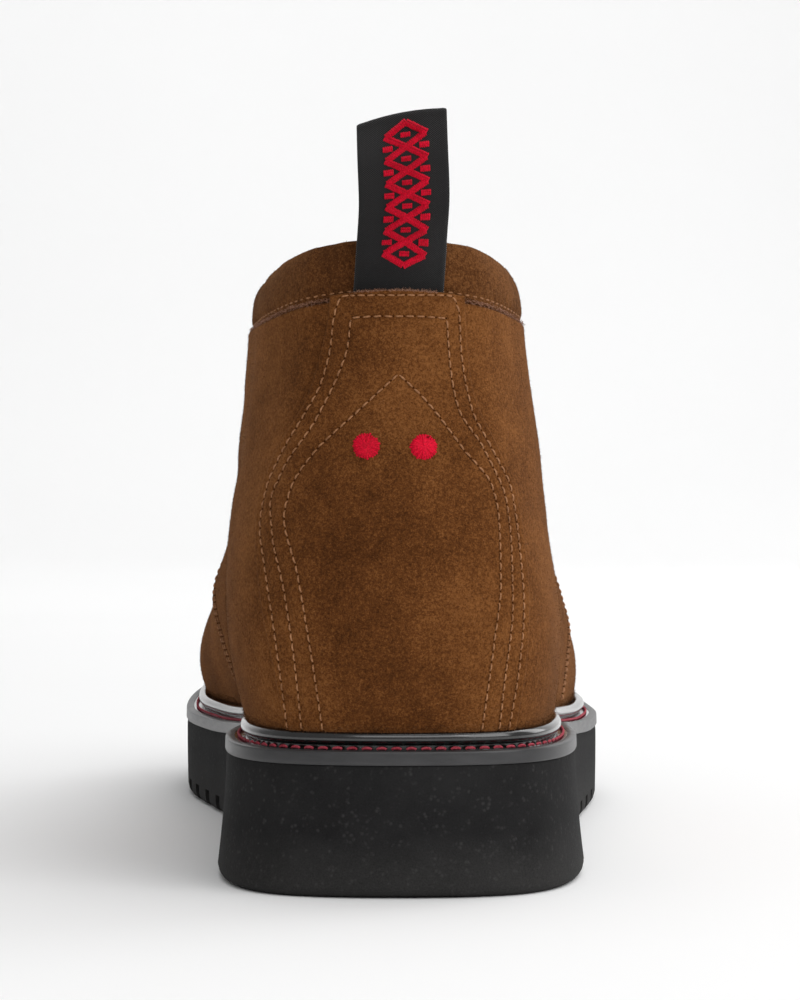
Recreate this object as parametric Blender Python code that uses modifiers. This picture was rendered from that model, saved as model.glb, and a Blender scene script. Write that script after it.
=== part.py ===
"""A plain-toe derby boot of chukka height, for the right foot, in a men's EU 42.

It is an assembly, as a bootmaker puts one together: a hollow upper closed over a last, two quarters and
a backstay laid on it, a padded collar, a tongue under the laces, and a welted sole in four layers.

All sizes and tables are in millimetres, and the meshes are made in metres. +Y points to the toe, +X to
the outer (lateral) side and +Z up. The floor is z = 0, and the origin lies under the middle of the sole.

The upper's form is worked out by upper_surface(w, t). w runs once round the shoe, from the back of the
heel along the outer side to the toe and back along the inner side. t climbs from the feather line, where
the upper meets the welt, to the top edge. Every curved piece of the upper is cut from that one function.
"""

import math

import bmesh
import bpy
import numpy as np
from mathutils import Matrix, Vector

MM = 0.001
GAP = 0.3  # between pieces that touch on the real boot
WELD = 0.001  # points this close are one

# ---- Driving sizes -------------------------------------------------------------------------------------

WALL = 2.0  # vamp leather with its lining
QUARTER = 1.2  # the quarters are laid over the wall
BACKSTAY = 2.0  # the backstay and counter, proud of the quarters
COLLAR_HEIGHT, COLLAR_OUT, COLLAR_IN = 11.0, 1.7, 3.0
INSOLE = 3.0
WELT = 1.5
WELT_REACH = 12.5  # how far the welt's strip runs in under the upper
MIDSOLE = 3.2
FEATHER_INSET = 7.0  # from the welt's edge to the upper
STITCH_INSET = 3.0  # the groove for the welt's stitches, from the welt's edge
BEAD_INSET, BEAD_RADIUS = 4.75, 1.15
LUG_PITCH, LUG_GAP, LUG_DEPTH = 13.5, 5.0, 4.4
LUG_START = {"forepart": -18.0, "heel": -104.0}  # along the shoe, the first gap between lugs
LUG_ROWS = {"forepart": 11, "heel": 3}
LUG_REACH = {"forepart": 16.0, "heel": 11.0}  # how far in from the midsole's edge a gap runs
COLLAR_END = 4.7  # the section at which the collar stops, short of the facing
LAID_TOP, SKIRT = 0.996, 0.035  # the laid panels reach between these shares of the climb
TONGUE = 2.6
TONGUE_TOP, TONGUE_FOOT = 4.95, 8.2  # the sections between which it lies under the facings and the vamp
TONGUE_LEAVES, TONGUE_SINK = 6.0, 6.5  # above this section it leaves the facings, to lie so far under them
# Above the facings the tongue leans back into the collar, spreads, and ends in a round edge.
TONGUE_CREST = {
    "rise": (6, 12, 18, 22, 24),
    "lean": (8, 11, 12.5, 13, 13),
    "width": (1.0, 1.12, 1.22, 1.08, 0.7),
}
EYELETS = 3
EYELET_FIRST, EYELET_PITCH = 0.14, 0.31  # down the facing, as shares of its length
EYELET_HOLE, EYELET_FLANGE, EYELET_BARREL = 2.7, 3.9, 1.1
EYELET_CLIMB = 0.915  # where the eyelets lie, as a share of the climb
EYELET_TOP = 1.15  # above the quarter
EYELET_SIDES = 8
LACE_RADIUS, LACE_BOW = 1.35, 3.0
TAPE_WIDTH, TAPE = 19.0, 1.1
TAPE_ABOVE, TAPE_SLANT = 37.0, 3.6  # the fold's height above the collar's seam, and its slant
TAPE_MIDDLE = 0.3  # the tape stands a little to the lateral side of the heel's seam

# The height of the outsole's top face and of its underside along the shoe.
SOLE_PROFILE = {
    "along": (-151, -110, -60, -20, 20, 50, 100, 130, 151),
    "top": (26.6, 26.4, 24.8, 21.6, 19.2, 18.8, 22.0, 25.0, 27.5),
}
TREAD_PROFILE = {
    "along": (-151, -142, -68, -58, -30, -20, 45, 75, 105, 130, 151),
    "under": (0.5, 0.0, 0.0, 6.0, 6.0, 0.0, 0.0, 1.1, 4.2, 8.4, 12.6),
}
# How far the outsole's foot stands out past the midsole's edge.
FLARE_PROFILE = {"along": (-151, -100, -50, 0, 151), "flare": (1.5, 1.7, 0.8, -0.4, -0.4)}

# One row for each section round the shoe, from the back of the heel to the toe. The first columns are the
# edge of the midsole on the inner (medial) and outer (lateral) side. The next are the top edge of the
# upper: the collar's seam, then the facing, then the ridge of the vamp. The rest shape the wall between
# the two: how far it swells out above the feather line and over what rise, and how it arrives at the top.
COLUMNS = (
    "name along medial lateral top_along top_height top_medial top_lateral "
    "swell_medial swell_lateral rise shoulder_medial shoulder_lateral drop"
).split()
SECTIONS = [
    ("heel_back", -148.6, 0.5, 0.5, -137.5, 126.0, -1.0, -1.0, 12.0, 12.0, 30, -2.0, -2.0, 34),
    ("heel_corner", -141.0, -27.6, 27.4, -131.5, 124.4, -18.0, 15.4, 12.0, 11.5, 31, -1.0, -1.0, 33),
    ("heel_side", -111, -38.0, 38.6, -108.0, 120.5, -29.8, 25.8, 12.6, 6.0, 32, 0.4, 2.4, 32),
    ("shank", -68, -36.8, 40.0, -81.0, 119.5, -32.2, 25.4, 11.0, 8.0, 31, 2.0, 2.4, 30),
    ("waist", -30, -37.6, 43.6, -58.0, 118.5, -27.5, 21.5, 10.5, 5.5, 29, 9.0, 6.0, 20),
    ("facing_top", 0, -43.0, 48.2, -45.0, 116.5, -13.0, 9.0, 11.0, 6.0, 26, 18.0, 14.0, 8),
    ("facing_middle", 26, -49.0, 52.4, -22.0, 98.5, -10.0, 7.0, 12.0, 7.6, 24, 24.0, 17.0, 4),
    ("throat", 48, -53.6, 54.4, -1.0, 85.5, -1.6, -1.6, 13.0, 9.6, 23, 28.0, 24.0, 1),
    ("ball", 68, -55.2, 53.0, 28.0, 72.5, -3.0, -3.0, 13.5, 12.5, 21, 28.0, 27.0, 1),
    ("toe_shoulder", 100, -51.4, 45.4, 66.0, 61.0, -5.6, -5.6, 12.5, 12.5, 19, 26.0, 26.0, 1),
    ("toe_corner", 128, -40.6, 31.6, 92.0, 55.0, -7.2, -7.2, 11.0, 11.0, 17, 22.0, 22.0, 1.5),
    ("toe_side", 144, -26.0, 13.0, 103.0, 52.4, -7.8, -7.8, 10.0, 10.0, 16, 20.0, 20.0, 2),
    ("toe_tip", 150, -7.0, -7.0, 106.0, 51.6, -8.0, -8.0, 9.5, 9.5, 16, 19.0, 19.0, 2),
]
ROW = {row[0]: number for number, row in enumerate(SECTIONS)}

# The backstay as it is seen from behind: its two edges at each height.
BACKSTAY_SHAPE = {
    "height": (25, 36, 48, 61, 74, 82, 91, 107, 125, 132),
    "medial": (-22.5, -24.4, -26.6, -29.2, -30.4, -30.2, -27.0, -18.6, -14.8, -14.6),
    "lateral": (22.5, 24.2, 26.2, 26.8, 26.0, 24.8, 21.6, 14.8, 13.2, 12.8),
}
# The front edge of the quarters as it is seen from the side, from the welt up to the facing.
QUARTER_FRONT = {"height": (20, 32, 50, 66, 78, 86, 92), "along": (-12, -4, 12, 22, 22, 14, 2)}
BEHIND_HEEL, BEFORE_HEEL = -200, -78  # a cutter seen from behind runs between these places along the shoe
BESIDE = (-100, 100)  # and one that is seen from the side, between these across it


# ---- Curves through the tables -------------------------------------------------------------------------


def column(name):
    return np.array([row[COLUMNS.index(name)] for row in SECTIONS], float)


def smooth(at, knots, values):
    """A curve through the values that never swings past them (monotone cubic)."""
    knots, values = np.asarray(knots, float), np.asarray(values, float)
    step = np.diff(knots)
    slope = np.diff(values) / step
    tangent = np.empty(len(knots))
    tangent[0], tangent[-1] = slope[0], slope[-1]
    same_way = slope[:-1] * slope[1:] > 0
    weight_a, weight_b = 2 * step[1:] + step[:-1], step[1:] + 2 * step[:-1]
    with np.errstate(divide="ignore", invalid="ignore"):
        mean = (weight_a + weight_b) / (weight_a / slope[:-1] + weight_b / slope[1:])
    tangent[1:-1] = np.where(same_way, mean, 0.0)
    at = np.clip(at, knots[0], knots[-1])
    i = np.clip(np.searchsorted(knots, at, side="right") - 1, 0, len(step) - 1)
    h = step[i]
    s = (at - knots[i]) / h
    return (
        values[i] * (1 + 2 * s) * (1 - s) ** 2
        + values[i + 1] * s**2 * (3 - 2 * s)
        + h * s * (1 - s) * (tangent[i] * (1 - s) - tangent[i + 1] * s)
    )


class Loop:
    """A closed cubic curve through values at knots, which is smooth all the way round."""

    def __init__(self, knots, values, period):
        self.knots, self.period = np.append(knots, period), period
        self.values = np.append(values, values[0])
        h = np.diff(self.knots)
        count = len(h)
        system, right = np.zeros((count, count)), np.zeros(count)
        slope = np.diff(self.values) / h
        for i in range(count):
            system[i, i - 1] = h[i - 1]
            system[i, i] = 2 * (h[i - 1] + h[i])
            system[i, (i + 1) % count] = h[i]
            right[i] = 6 * (slope[i] - slope[i - 1])
        self.bend = np.append(np.linalg.solve(system, right), 0.0)
        self.bend[-1] = self.bend[0]

    def __call__(self, at):
        at = np.mod(at, self.period)
        i = np.clip(np.searchsorted(self.knots, at, side="right") - 1, 0, len(self.knots) - 2)
        h = self.knots[i + 1] - self.knots[i]
        a, b = (self.knots[i + 1] - at) / h, (at - self.knots[i]) / h
        return (
            a * self.values[i]
            + b * self.values[i + 1]
            + ((a**3 - a) * self.bend[i] + (b**3 - b) * self.bend[i + 1]) * h**2 / 6
        )


def section_places():
    """How far round the shoe each section lies, as the mean of the two sides, from the heel to the toe."""
    along = column("along")
    sides = [np.hypot(np.diff(column(side)), np.diff(along)) for side in ("medial", "lateral")]
    return np.concatenate([[0.0], np.cumsum((sides[0] + sides[1]) / 2)])


PLACES = section_places()
HALF_WAY = PLACES[-1]
AROUND = 2 * HALF_WAY
LOOP_KNOTS = np.concatenate([PLACES, AROUND - PLACES[-2:0:-1]])


def both_sides(medial, lateral):
    """The values at LOOP_KNOTS: out along the lateral side and home along the medial one."""
    return np.concatenate([column(lateral), column(medial)[-2:0:-1]])


EDGE_X = Loop(LOOP_KNOTS, both_sides("medial", "lateral"), AROUND)
EDGE_Y = Loop(LOOP_KNOTS, both_sides("along", "along"), AROUND)


def place(row):
    """How far round the shoe a section lies. A fraction lies between two sections."""
    return np.interp(row, range(len(PLACES)), PLACES)


def edge(w, inset=0.0):
    """The midsole's edge in plan at w, moved in by inset, and the outward direction there."""
    step = 0.5
    x, y = EDGE_X(w), EDGE_Y(w)
    tangent_x, tangent_y = EDGE_X(w + step) - EDGE_X(w - step), EDGE_Y(w + step) - EDGE_Y(w - step)
    length = np.hypot(tangent_x, tangent_y)
    out_x, out_y = tangent_y / length, -tangent_x / length
    return x - out_x * inset, y - out_y * inset, out_x, out_y


def profile(table, name, along):
    return smooth(along, table["along"], table[name])


def sole_top(along):
    return profile(SOLE_PROFILE, "top", along)


def centre_shift():
    """What moves the tables so that the outsole's foot is centred over the origin."""
    w = np.linspace(0, AROUND, 2000)
    _, y, _, _ = edge(w)
    x, y, _, _ = edge(w, -profile(FLARE_PROFILE, "flare", y))
    return -(x.max() + x.min()) / 2, -(y.max() + y.min()) / 2


SHIFT_X, SHIFT_Y = centre_shift()
WELT_BASE = MIDSOLE + 2 * GAP  # above the outsole's top face
FEATHER_BASE = WELT_BASE + WELT + GAP

# ---- The upper's form ----------------------------------------------------------------------------------


def side_value(w, medial, lateral):
    """A table's column at w, smooth all the way round."""
    values = both_sides(medial, lateral)
    knots = np.concatenate([LOOP_KNOTS - AROUND, LOOP_KNOTS, LOOP_KNOTS + AROUND])
    return smooth(np.mod(w, AROUND), knots, np.tile(values, 3))


def top_value(w, medial, lateral):
    """The same for the top edge, whose facing and ridge meet at a corner at the throat."""
    throat = ROW["throat"]
    inner, outer = column(medial), column(lateral)
    w = np.mod(w, AROUND)
    from_heel = np.where(w > HALF_WAY, w - AROUND, w)
    heel_knots = np.concatenate([-PLACES[throat:0:-1], PLACES[: throat + 1]])
    behind = smooth(from_heel, heel_knots, np.concatenate([inner[throat:0:-1], outer[: throat + 1]]))
    toe_knots = np.concatenate([PLACES[throat:] - HALF_WAY, HALF_WAY - PLACES[-2 : throat - 1 : -1]])
    ahead = smooth(w - HALF_WAY, toe_knots, np.concatenate([outer[throat:], inner[-2 : throat - 1 : -1]]))
    return np.where(np.abs(from_heel) < PLACES[throat], behind, ahead)


def top_slope(w):
    """How steeply the top edge climbs towards the toe, so that both sides meet smoothly on the ridge."""
    reach = 9.0
    u = np.mod(w, AROUND)
    u = np.where(u <= HALF_WAY, u, AROUND - u)
    low, high = np.clip(u - reach, 0, HALF_WAY), np.clip(u + reach, 0, HALF_WAY)
    run = top_value(high, "top_along", "top_along") - top_value(low, "top_along", "top_along")
    climb = top_value(high, "top_height", "top_height") - top_value(low, "top_height", "top_height")
    return climb / run


def raw_surface(w, t):
    """Points of the upper's form: at each w a cubic runs from the feather line to the top edge."""
    x, y, out_x, out_y = edge(w, FEATHER_INSET)
    feather = np.stack([x, y, sole_top(y) + FEATHER_BASE], -1)
    top = np.stack(
        [
            top_value(w, "top_medial", "top_lateral"),
            top_value(w, "top_along", "top_along"),
            top_value(w, "top_height", "top_height"),
        ],
        -1,
    )
    out = np.stack([out_x, out_y, np.zeros_like(out_x)], -1)
    along_top = np.stack([out_x, out_y, out_y * top_slope(w)], -1)
    up = np.array([0.0, 0.0, 1.0])
    swell = side_value(w, "swell_medial", "swell_lateral")[..., None]
    rise = side_value(w, "rise", "rise")[..., None]
    shoulder = side_value(w, "shoulder_medial", "shoulder_lateral")[..., None]
    drop = side_value(w, "drop", "drop")[..., None]
    first, second = feather + out * swell + up * rise, top + along_top * shoulder - up * drop
    t = t[..., None]
    return (
        feather * (1 - t) ** 3
        + first * 3 * (1 - t) ** 2 * t
        + second * 3 * (1 - t) * t**2
        + top * t**3
    )


def outward(w, t):
    """The form's outward direction. On the ridge it is the mean of both sides, so that they meet there."""
    step_w, step_t = 0.4, 0.01
    low, high = np.clip(t - step_t, 0, 1), np.clip(t + step_t, 0, 1)
    across = raw_surface(w + step_w, t) - raw_surface(w - step_w, t)
    normal = np.cross(across, raw_surface(w, high) - raw_surface(w, low))
    return normal / np.maximum(np.linalg.norm(normal, axis=-1, keepdims=True), 1e-9)


def upper_surface(w, t, out=0.0):
    """Points of the upper, moved out from its form by out along its own normal."""
    w, t = np.broadcast_arrays(np.asarray(w, float), np.asarray(t, float))
    normal = outward(w, t)
    from_heel = np.minimum(np.mod(w, AROUND), AROUND - np.mod(w, AROUND))
    on_ridge = (t > 0.9999) & (from_heel > PLACES[ROW["throat"]] - 0.01)
    both = normal + outward(AROUND - w, t)
    both = both / np.maximum(np.linalg.norm(both, axis=-1, keepdims=True), 1e-9)
    normal = np.where(on_ridge[..., None], both, normal)
    return raw_surface(w, t) + normal * np.asarray(out, float)[..., None]


# ---- Building in Blender -------------------------------------------------------------------------------


def clear_scene():
    for obj in list(bpy.data.objects):
        bpy.data.objects.remove(obj)


def collection(name):
    made = bpy.data.collections.new(name)
    bpy.context.scene.collection.children.link(made)
    return made


def finish_material(name, colour, roughness, metallic=0.0):
    made = bpy.data.materials.new(name)
    made.use_nodes = True
    shader = made.node_tree.nodes["Principled BSDF"]
    shader.inputs["Base Color"].default_value = (*colour, 1.0)
    shader.inputs["Roughness"].default_value = roughness
    shader.inputs["Metallic"].default_value = metallic
    return made


def centred(points):
    """Points of the tables, in millimetres, as places in the scene."""
    return (np.asarray(points, float) + [SHIFT_X, SHIFT_Y, 0]) * MM


def add_object(name, shape, material, folder):
    """Turns a bmesh into an object of the collection."""
    mesh = bpy.data.meshes.new(name)
    shape.to_mesh(mesh)
    shape.free()
    if material:
        mesh.materials.append(material)
    made = bpy.data.objects.new(name, mesh)
    folder.objects.link(made)
    return made


def loft(name, rows, material, folder, closed=False):
    """A surface through rows of points. closed joins each row's ends, and meeting points are welded."""
    rows = centred(rows)
    shape = bmesh.new()
    grid = [[shape.verts.new(point) for point in row] for row in rows]
    across = len(grid[0])
    for lower, higher in zip(grid, grid[1:]):
        for i in range(across if closed else across - 1):
            j = (i + 1) % across
            shape.faces.new((lower[i], lower[j], higher[j], higher[i]))
    bmesh.ops.remove_doubles(shape, verts=shape.verts, dist=WELD * MM)
    bmesh.ops.dissolve_degenerate(shape, edges=shape.edges, dist=WELD * MM / 10)
    return add_object(name, shape, material, folder)


def face_out(obj):
    shape = bmesh.new()
    shape.from_mesh(obj.data)
    bmesh.ops.recalc_face_normals(shape, faces=shape.faces)
    shape.to_mesh(obj.data)
    shape.free()
    obj.data.shade_smooth()
    obj.data.set_sharp_from_angle(angle=math.radians(40))


def cap_ends(obj):
    shape = bmesh.new()
    shape.from_mesh(obj.data)
    bmesh.ops.holes_fill(shape, edges=[e for e in shape.edges if e.is_boundary], sides=0)
    shape.to_mesh(obj.data)
    shape.free()


def thicken(obj, thickness):
    """Gives a surface its wall, on the side that its faces turn away from."""
    wall = obj.modifiers.new("wall", "SOLIDIFY")
    wall.thickness = thickness * MM
    wall.offset = -1
    wall.use_even_offset = False
    return wall


def cut(obj, cutter):
    change = obj.modifiers.new("cut", "BOOLEAN")
    change.operation = "DIFFERENCE"
    change.object = cutter


def keep(obj, cutter):
    """Keeps only what lies inside the cutter."""
    change = obj.modifiers.new("keep", "BOOLEAN")
    change.operation = "INTERSECT"
    change.object = cutter


def as_cutter(obj):
    obj.hide_render = True
    obj.display_type = "WIRE"
    return obj


# ---- The sole ------------------------------------------------------------------------------------------


def stations(count):
    """Places from heel to toe, closer together at the two round ends."""
    share = np.linspace(0, 1, count)
    return HALF_WAY * (share - 0.05 * np.sin(4 * np.pi * share) / 2)


def plate(name, levels, material, folder, count=30):
    """A solid slab of the shoe's plan. levels lists (inset, height) functions of the place along the
    shoe, from the underside to the top. Its sections cross the shoe, and close at heel and toe."""
    rows = []
    for w in stations(count):
        section = []
        for side, order in ((w, levels), (AROUND - w, levels[::-1])):
            for inset, height in order:
                _, along, _, _ = edge(side)
                x, y, _, _ = edge(side, inset(along))
                section.append((float(x), float(y), float(height(y))))
        rows.append(section)
    made = loft(name, rows, material, folder, closed=True)
    face_out(made)
    return made


def flat(value):
    return lambda along: value


def make_outsole(material, folder, cutters):
    def under(along):
        return profile(TREAD_PROFILE, "under", along)

    def flare(more):
        return lambda along: more - profile(FLARE_PROFILE, "flare", along)

    levels = [
        (flare(1.8), under),
        (flare(0.5), lambda along: under(along) + 0.7),
        (flare(0.0), lambda along: under(along) + 2.4),
        (lambda along: 0.45 * flare(0.0)(along), lambda along: 0.45 * under(along) + 0.55 * sole_top(along)),
        (flat(0.25), sole_top),
    ]
    outsole = plate("outsole", levels, material, folder, count=44)
    cut(outsole, make_lug_gaps(cutters))
    return outsole


def lug_gap_places():
    """(name of the region, place along the shoe) for each row of gaps between the lugs."""
    for region, count in LUG_ROWS.items():
        for number in range(count):
            yield region, LUG_START[region] + LUG_PITCH * number


def make_lug_gaps(cutters):
    """The gaps between the tread's lugs, as bars that come in square to both edges of the sole."""
    overhang = 4.0  # the bars stick out past the edge and below the floor, so that they cut cleanly
    bars = bmesh.new()
    half = np.linspace(0, HALF_WAY, 400)
    for region, along in lug_gap_places():
        nearest = half[np.argmin(np.abs(EDGE_Y(half) - along))]
        length = LUG_REACH[region] + overhang
        for side in (nearest, AROUND - nearest):
            x, y, out_x, out_y = edge(side, length / 2 - overhang)
            bottom = profile(TREAD_PROFILE, "under", y) - overhang
            box = bmesh.ops.create_cube(bars, size=1.0)["verts"]
            bmesh.ops.scale(bars, vec=(length, LUG_GAP, LUG_DEPTH + overhang), verts=box)
            turn = Matrix.Rotation(math.atan2(out_y, out_x), 3, "Z")
            bmesh.ops.rotate(bars, cent=(0, 0, 0), matrix=turn, verts=box)
            middle = (float(x), float(y), float(bottom) + (LUG_DEPTH + overhang) / 2)
            bmesh.ops.translate(bars, vec=middle, verts=box)
    bmesh.ops.translate(bars, vec=(SHIFT_X, SHIFT_Y, 0), verts=bars.verts)
    bmesh.ops.scale(bars, vec=(MM, MM, MM), verts=bars.verts)
    return as_cutter(add_object("lug_gaps", bars, None, cutters))


def above_sole(height):
    """The outsole's top face, raised by height."""
    return lambda along: sole_top(along) + height


def make_midsole(material, folder):
    levels = [
        (flat(0.1), above_sole(GAP)),
        (flat(0.0), above_sole(GAP + 0.5)),
        (flat(0.0), above_sole(GAP + MIDSOLE - 0.4)),
        (flat(0.4), above_sole(GAP + MIDSOLE)),
    ]
    return plate("midsole", levels, material, folder, count=30)


def make_insole(material, folder):
    inset = FEATHER_INSET + WALL + 2 * GAP
    levels = [
        (flat(inset + 0.5), above_sole(FEATHER_BASE)),
        (flat(inset), above_sole(FEATHER_BASE + 0.8)),
        (flat(inset), above_sole(FEATHER_BASE + INSOLE - 0.6)),
        (flat(inset + 0.8), above_sole(FEATHER_BASE + INSOLE)),
    ]
    return plate("insole", levels, material, folder, count=28)


def make_welt(material, folder):
    """A strip all round with a groove for its stitches and a round bead against the upper."""
    bead = [
        (BEAD_INSET - BEAD_RADIUS * math.cos(a), WELT + 1.0 + BEAD_RADIUS * math.sin(a))
        for a in np.linspace(0, math.pi, 4)
    ]
    section = [
        (0.3, 0.0),
        (0.4, WELT),
        (STITCH_INSET - 0.7, WELT),
        (STITCH_INSET, WELT - 0.6),
        (BEAD_INSET - BEAD_RADIUS, WELT - 0.4),
        *bead,
        (BEAD_INSET + BEAD_RADIUS, WELT),
        (WELT_REACH, WELT),
        (WELT_REACH, 0.0),
    ]
    count = 56
    rows = []
    for w in np.linspace(0, AROUND, count, endpoint=False):
        row = []
        for inset, height in section:
            x, y, _, _ = edge(w, inset)
            row.append((float(x), float(y), float(sole_top(y)) + WELT_BASE + height))
        rows.append(row)
    made = loft("welt", [*rows, rows[0]], material, folder, closed=True)
    face_out(made)
    return made


# ---- The upper and what is laid on it ------------------------------------------------------------------


def side_stations(count):
    """The places used for every curved piece, so that facets lie over facets. One is at the throat."""
    found = stations(count)
    found[np.argmin(np.abs(found - PLACES[ROW["throat"]]))] = PLACES[ROW["throat"]]
    return found


SIDE_STATIONS = side_stations(31)
CLIMB = np.linspace(0, 1, 10)


def around_places():
    """Places all round the shoe. Both sides have the same ones, so that the ridge closes."""
    return np.concatenate([SIDE_STATIONS, AROUND - SIDE_STATIONS[-2:0:-1]])


def shell(name, w, climb, outer, inner, material, folder, closed=False):
    """The solid between two offsets of the upper's form, over the places w and the climb. Every sheet
    is split along the same diagonals, so that facets of neighbouring pieces run parallel."""
    w_grid, t_grid = np.meshgrid(w, climb)
    shape = bmesh.new()
    sheets = []
    for offset in (outer, inner):
        points = centred(upper_surface(w_grid, t_grid, np.full_like(w_grid, offset)))
        sheets.append([[shape.verts.new(point) for point in row] for row in points])
    outside, inside = sheets
    columns = len(w)
    steps = [(i, (i + 1) % columns) for i in range(columns if closed else columns - 1)]
    for k in range(len(climb) - 1):
        for i, j in steps:
            for grid, turn in ((outside, 1), (inside, -1)):
                corner, far = grid[k][i], grid[k + 1][j]
                shape.faces.new((corner, grid[k][j], far)[::turn])
                shape.faces.new((corner, far, grid[k + 1][i])[::turn])
    from_heel = np.minimum(np.mod(w, AROUND), AROUND - np.mod(w, AROUND))
    for i, j in steps:
        shape.faces.new((outside[0][j], outside[0][i], inside[0][i], inside[0][j]))
        if not closed or max(from_heel[i], from_heel[j]) < PLACES[ROW["throat"]] + 0.01:
            shape.faces.new((outside[-1][i], outside[-1][j], inside[-1][j], inside[-1][i]))
    if not closed:
        for k in range(len(climb) - 1):
            shape.faces.new((outside[k][0], outside[k + 1][0], inside[k + 1][0], inside[k][0]))
            shape.faces.new((outside[k + 1][-1], outside[k][-1], inside[k][-1], inside[k + 1][-1]))
    bmesh.ops.remove_doubles(shape, verts=shape.verts, dist=10 * WELD * MM)
    made = add_object(name, shape, material, folder)
    face_out(made)
    return made


def make_upper(material, folder, cutters):
    made = shell("upper", around_places(), CLIMB, 0.0, -WALL, material, folder, closed=True)
    cut(made, cutters["eyelet_holes"])
    return made


def laid_shell(name, w, thickness, material, folder):
    """A form of the given thickness laid on the upper, over the places w. Panels are cut from these."""
    climb = np.clip(CLIMB, SKIRT, LAID_TOP)
    return shell(name, w, climb, GAP + thickness, GAP, material, folder)


def prism(name, outline, depth, cutters, view):
    """A cutter: an outline of (across, height) points, as seen from behind or from the side, pushed
    through the shoe between the two places in depth."""
    rows = []
    for place_in_depth in depth:
        if view == "behind":
            rows.append([(x, place_in_depth, z) for x, z in outline])
        else:
            rows.append([(place_in_depth, y, z) for y, z in outline])
    made = loft(name, rows, None, cutters, closed=True)
    cap_ends(made)
    face_out(made)
    return as_cutter(made)


def backstay_outline(more):
    """The backstay's outline from behind, grown by more on each side."""
    height = np.linspace(20, 132, 24)
    medial = smooth(height, BACKSTAY_SHAPE["height"], BACKSTAY_SHAPE["medial"]) - more
    lateral = smooth(height, BACKSTAY_SHAPE["height"], BACKSTAY_SHAPE["lateral"]) + more
    return [*zip(medial, height), *zip(lateral[::-1], height[::-1])]


def quarter_outline():
    """The quarter's outline from the side: its front edge, then well clear of the boot behind it."""
    height = np.linspace(20, 92, 19)
    along = smooth(height, QUARTER_FRONT["height"], QUARTER_FRONT["along"])
    return [(-200, 10), *zip(along, height), (-8, 98), (-30, 150), (-200, 150)]


def make_quarter(side, material, folder, cutters):
    """side is 1 for the lateral quarter, -1 for the medial one."""
    name = "quarter_lateral" if side > 0 else "quarter_medial"
    w = SIDE_STATIONS[(SIDE_STATIONS > 5) & (SIDE_STATIONS < PLACES[ROW["ball"]] - 8)]
    w = w if side > 0 else (AROUND - w)[::-1]
    made = laid_shell(name, w, QUARTER, material, folder)
    cut(made, cutters["backstay_room"])
    keep(made, cutters["quarter_room"])
    cut(made, cutters["eyelet_holes"])
    return made


def make_backstay(material, folder, cutters):
    near = SIDE_STATIONS[SIDE_STATIONS < 90]
    w = np.concatenate([-near[:0:-1], near])
    made = laid_shell("backstay", w, BACKSTAY, material, folder)
    keep(made, cutters["backstay_keep"])
    return made


def make_tongue(material, folder):
    """It lies under both facings and bridges the throat between them, with its foot under the vamp."""
    near = SIDE_STATIONS[(SIDE_STATIONS > place(TONGUE_TOP)) & (SIDE_STATIONS < place(TONGUE_FOOT))]
    sink = np.clip((place(TONGUE_LEAVES) - near) / (place(TONGUE_LEAVES) - near[0]), 0, 1)
    rows = []
    for w, down in zip(near, WALL + 2 * GAP + TONGUE_SINK * sink):
        t = CLIMB[-2:]
        lateral = upper_surface(np.full_like(t, w), t, np.full_like(t, -down))
        medial = upper_surface(np.full_like(t, AROUND - w), t, np.full_like(t, -down))
        rows.append([*lateral, *bridge(lateral, medial), *medial[::-1]])
    rows = np.array(rows)
    made = loft("tongue", [*rows[::-1], *tongue_top(rows[0])], material, folder)
    thicken(made, TONGUE)
    return made


def bridge(lateral, medial):
    """Three points over the throat, on a curve that carries on from both facings."""
    start, end = lateral[-1], medial[-1]
    lead, tail = start - lateral[-2], end - medial[-2]
    span = np.linalg.norm(end - start) / 3
    first = start + lead / np.linalg.norm(lead) * span
    second = end + tail / np.linalg.norm(tail) * span
    share = np.linspace(0, 1, 5)[1:-1, None]
    return (
        start * (1 - share) ** 3
        + first * 3 * (1 - share) ** 2 * share
        + second * 3 * (1 - share) * share**2
        + end * share**3
    )


def tongue_top(row):
    """The rows of the tongue above the facings, grown from the last row under them."""
    middle = row.mean(axis=0)
    rows = []
    for rise, lean, width in zip(*TONGUE_CREST.values()):
        rows.append(middle + (row - middle) * [width, 1, 1] + [0, -lean, rise])
    return rows


def eyelet_seats():
    """The place and outward direction of each eyelet, on the surface of the quarters."""
    seats = {}
    facing_top, throat = place(ROW["facing_top"]), place(ROW["throat"])
    for number in range(EYELETS):
        reach = facing_top + (throat - facing_top) * (EYELET_FIRST + EYELET_PITCH * number)
        for side, name in ((1, "lateral"), (-1, "medial")):
            w = np.array([reach if side > 0 else AROUND - reach])
            t = np.array([EYELET_CLIMB])
            foot, tip = (upper_surface(w, t, np.array([h]))[0] for h in (GAP + QUARTER, GAP + QUARTER + 1))
            seats[name, number] = (foot, tip - foot)
    return seats


def onto_seat(seat):
    """The move that stands an upright shape on a seat."""
    foot, axis = seat
    turn = Vector((0, 0, 1)).rotation_difference(Vector(axis)).to_matrix().to_4x4()
    return Matrix.Translation(centred(foot)) @ turn


def turned(name, outline, seat, material, folder):
    """A ring turned from a closed outline of (radius, height) points, standing on a seat."""
    shape = bmesh.new()
    spin = np.linspace(0, 2 * math.pi, EYELET_SIDES, endpoint=False)
    rings = [
        [shape.verts.new((r * MM * math.cos(a), r * MM * math.sin(a), h * MM)) for a in spin]
        for r, h in outline
    ]
    for lower, higher in zip(rings, rings[1:] + rings[:1]):
        for i in range(EYELET_SIDES):
            j = (i + 1) % EYELET_SIDES
            shape.faces.new((lower[i], lower[j], higher[j], higher[i]))
    shape.transform(onto_seat(seat))
    made = add_object(name, shape, material, folder)
    face_out(made)
    return made


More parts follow.
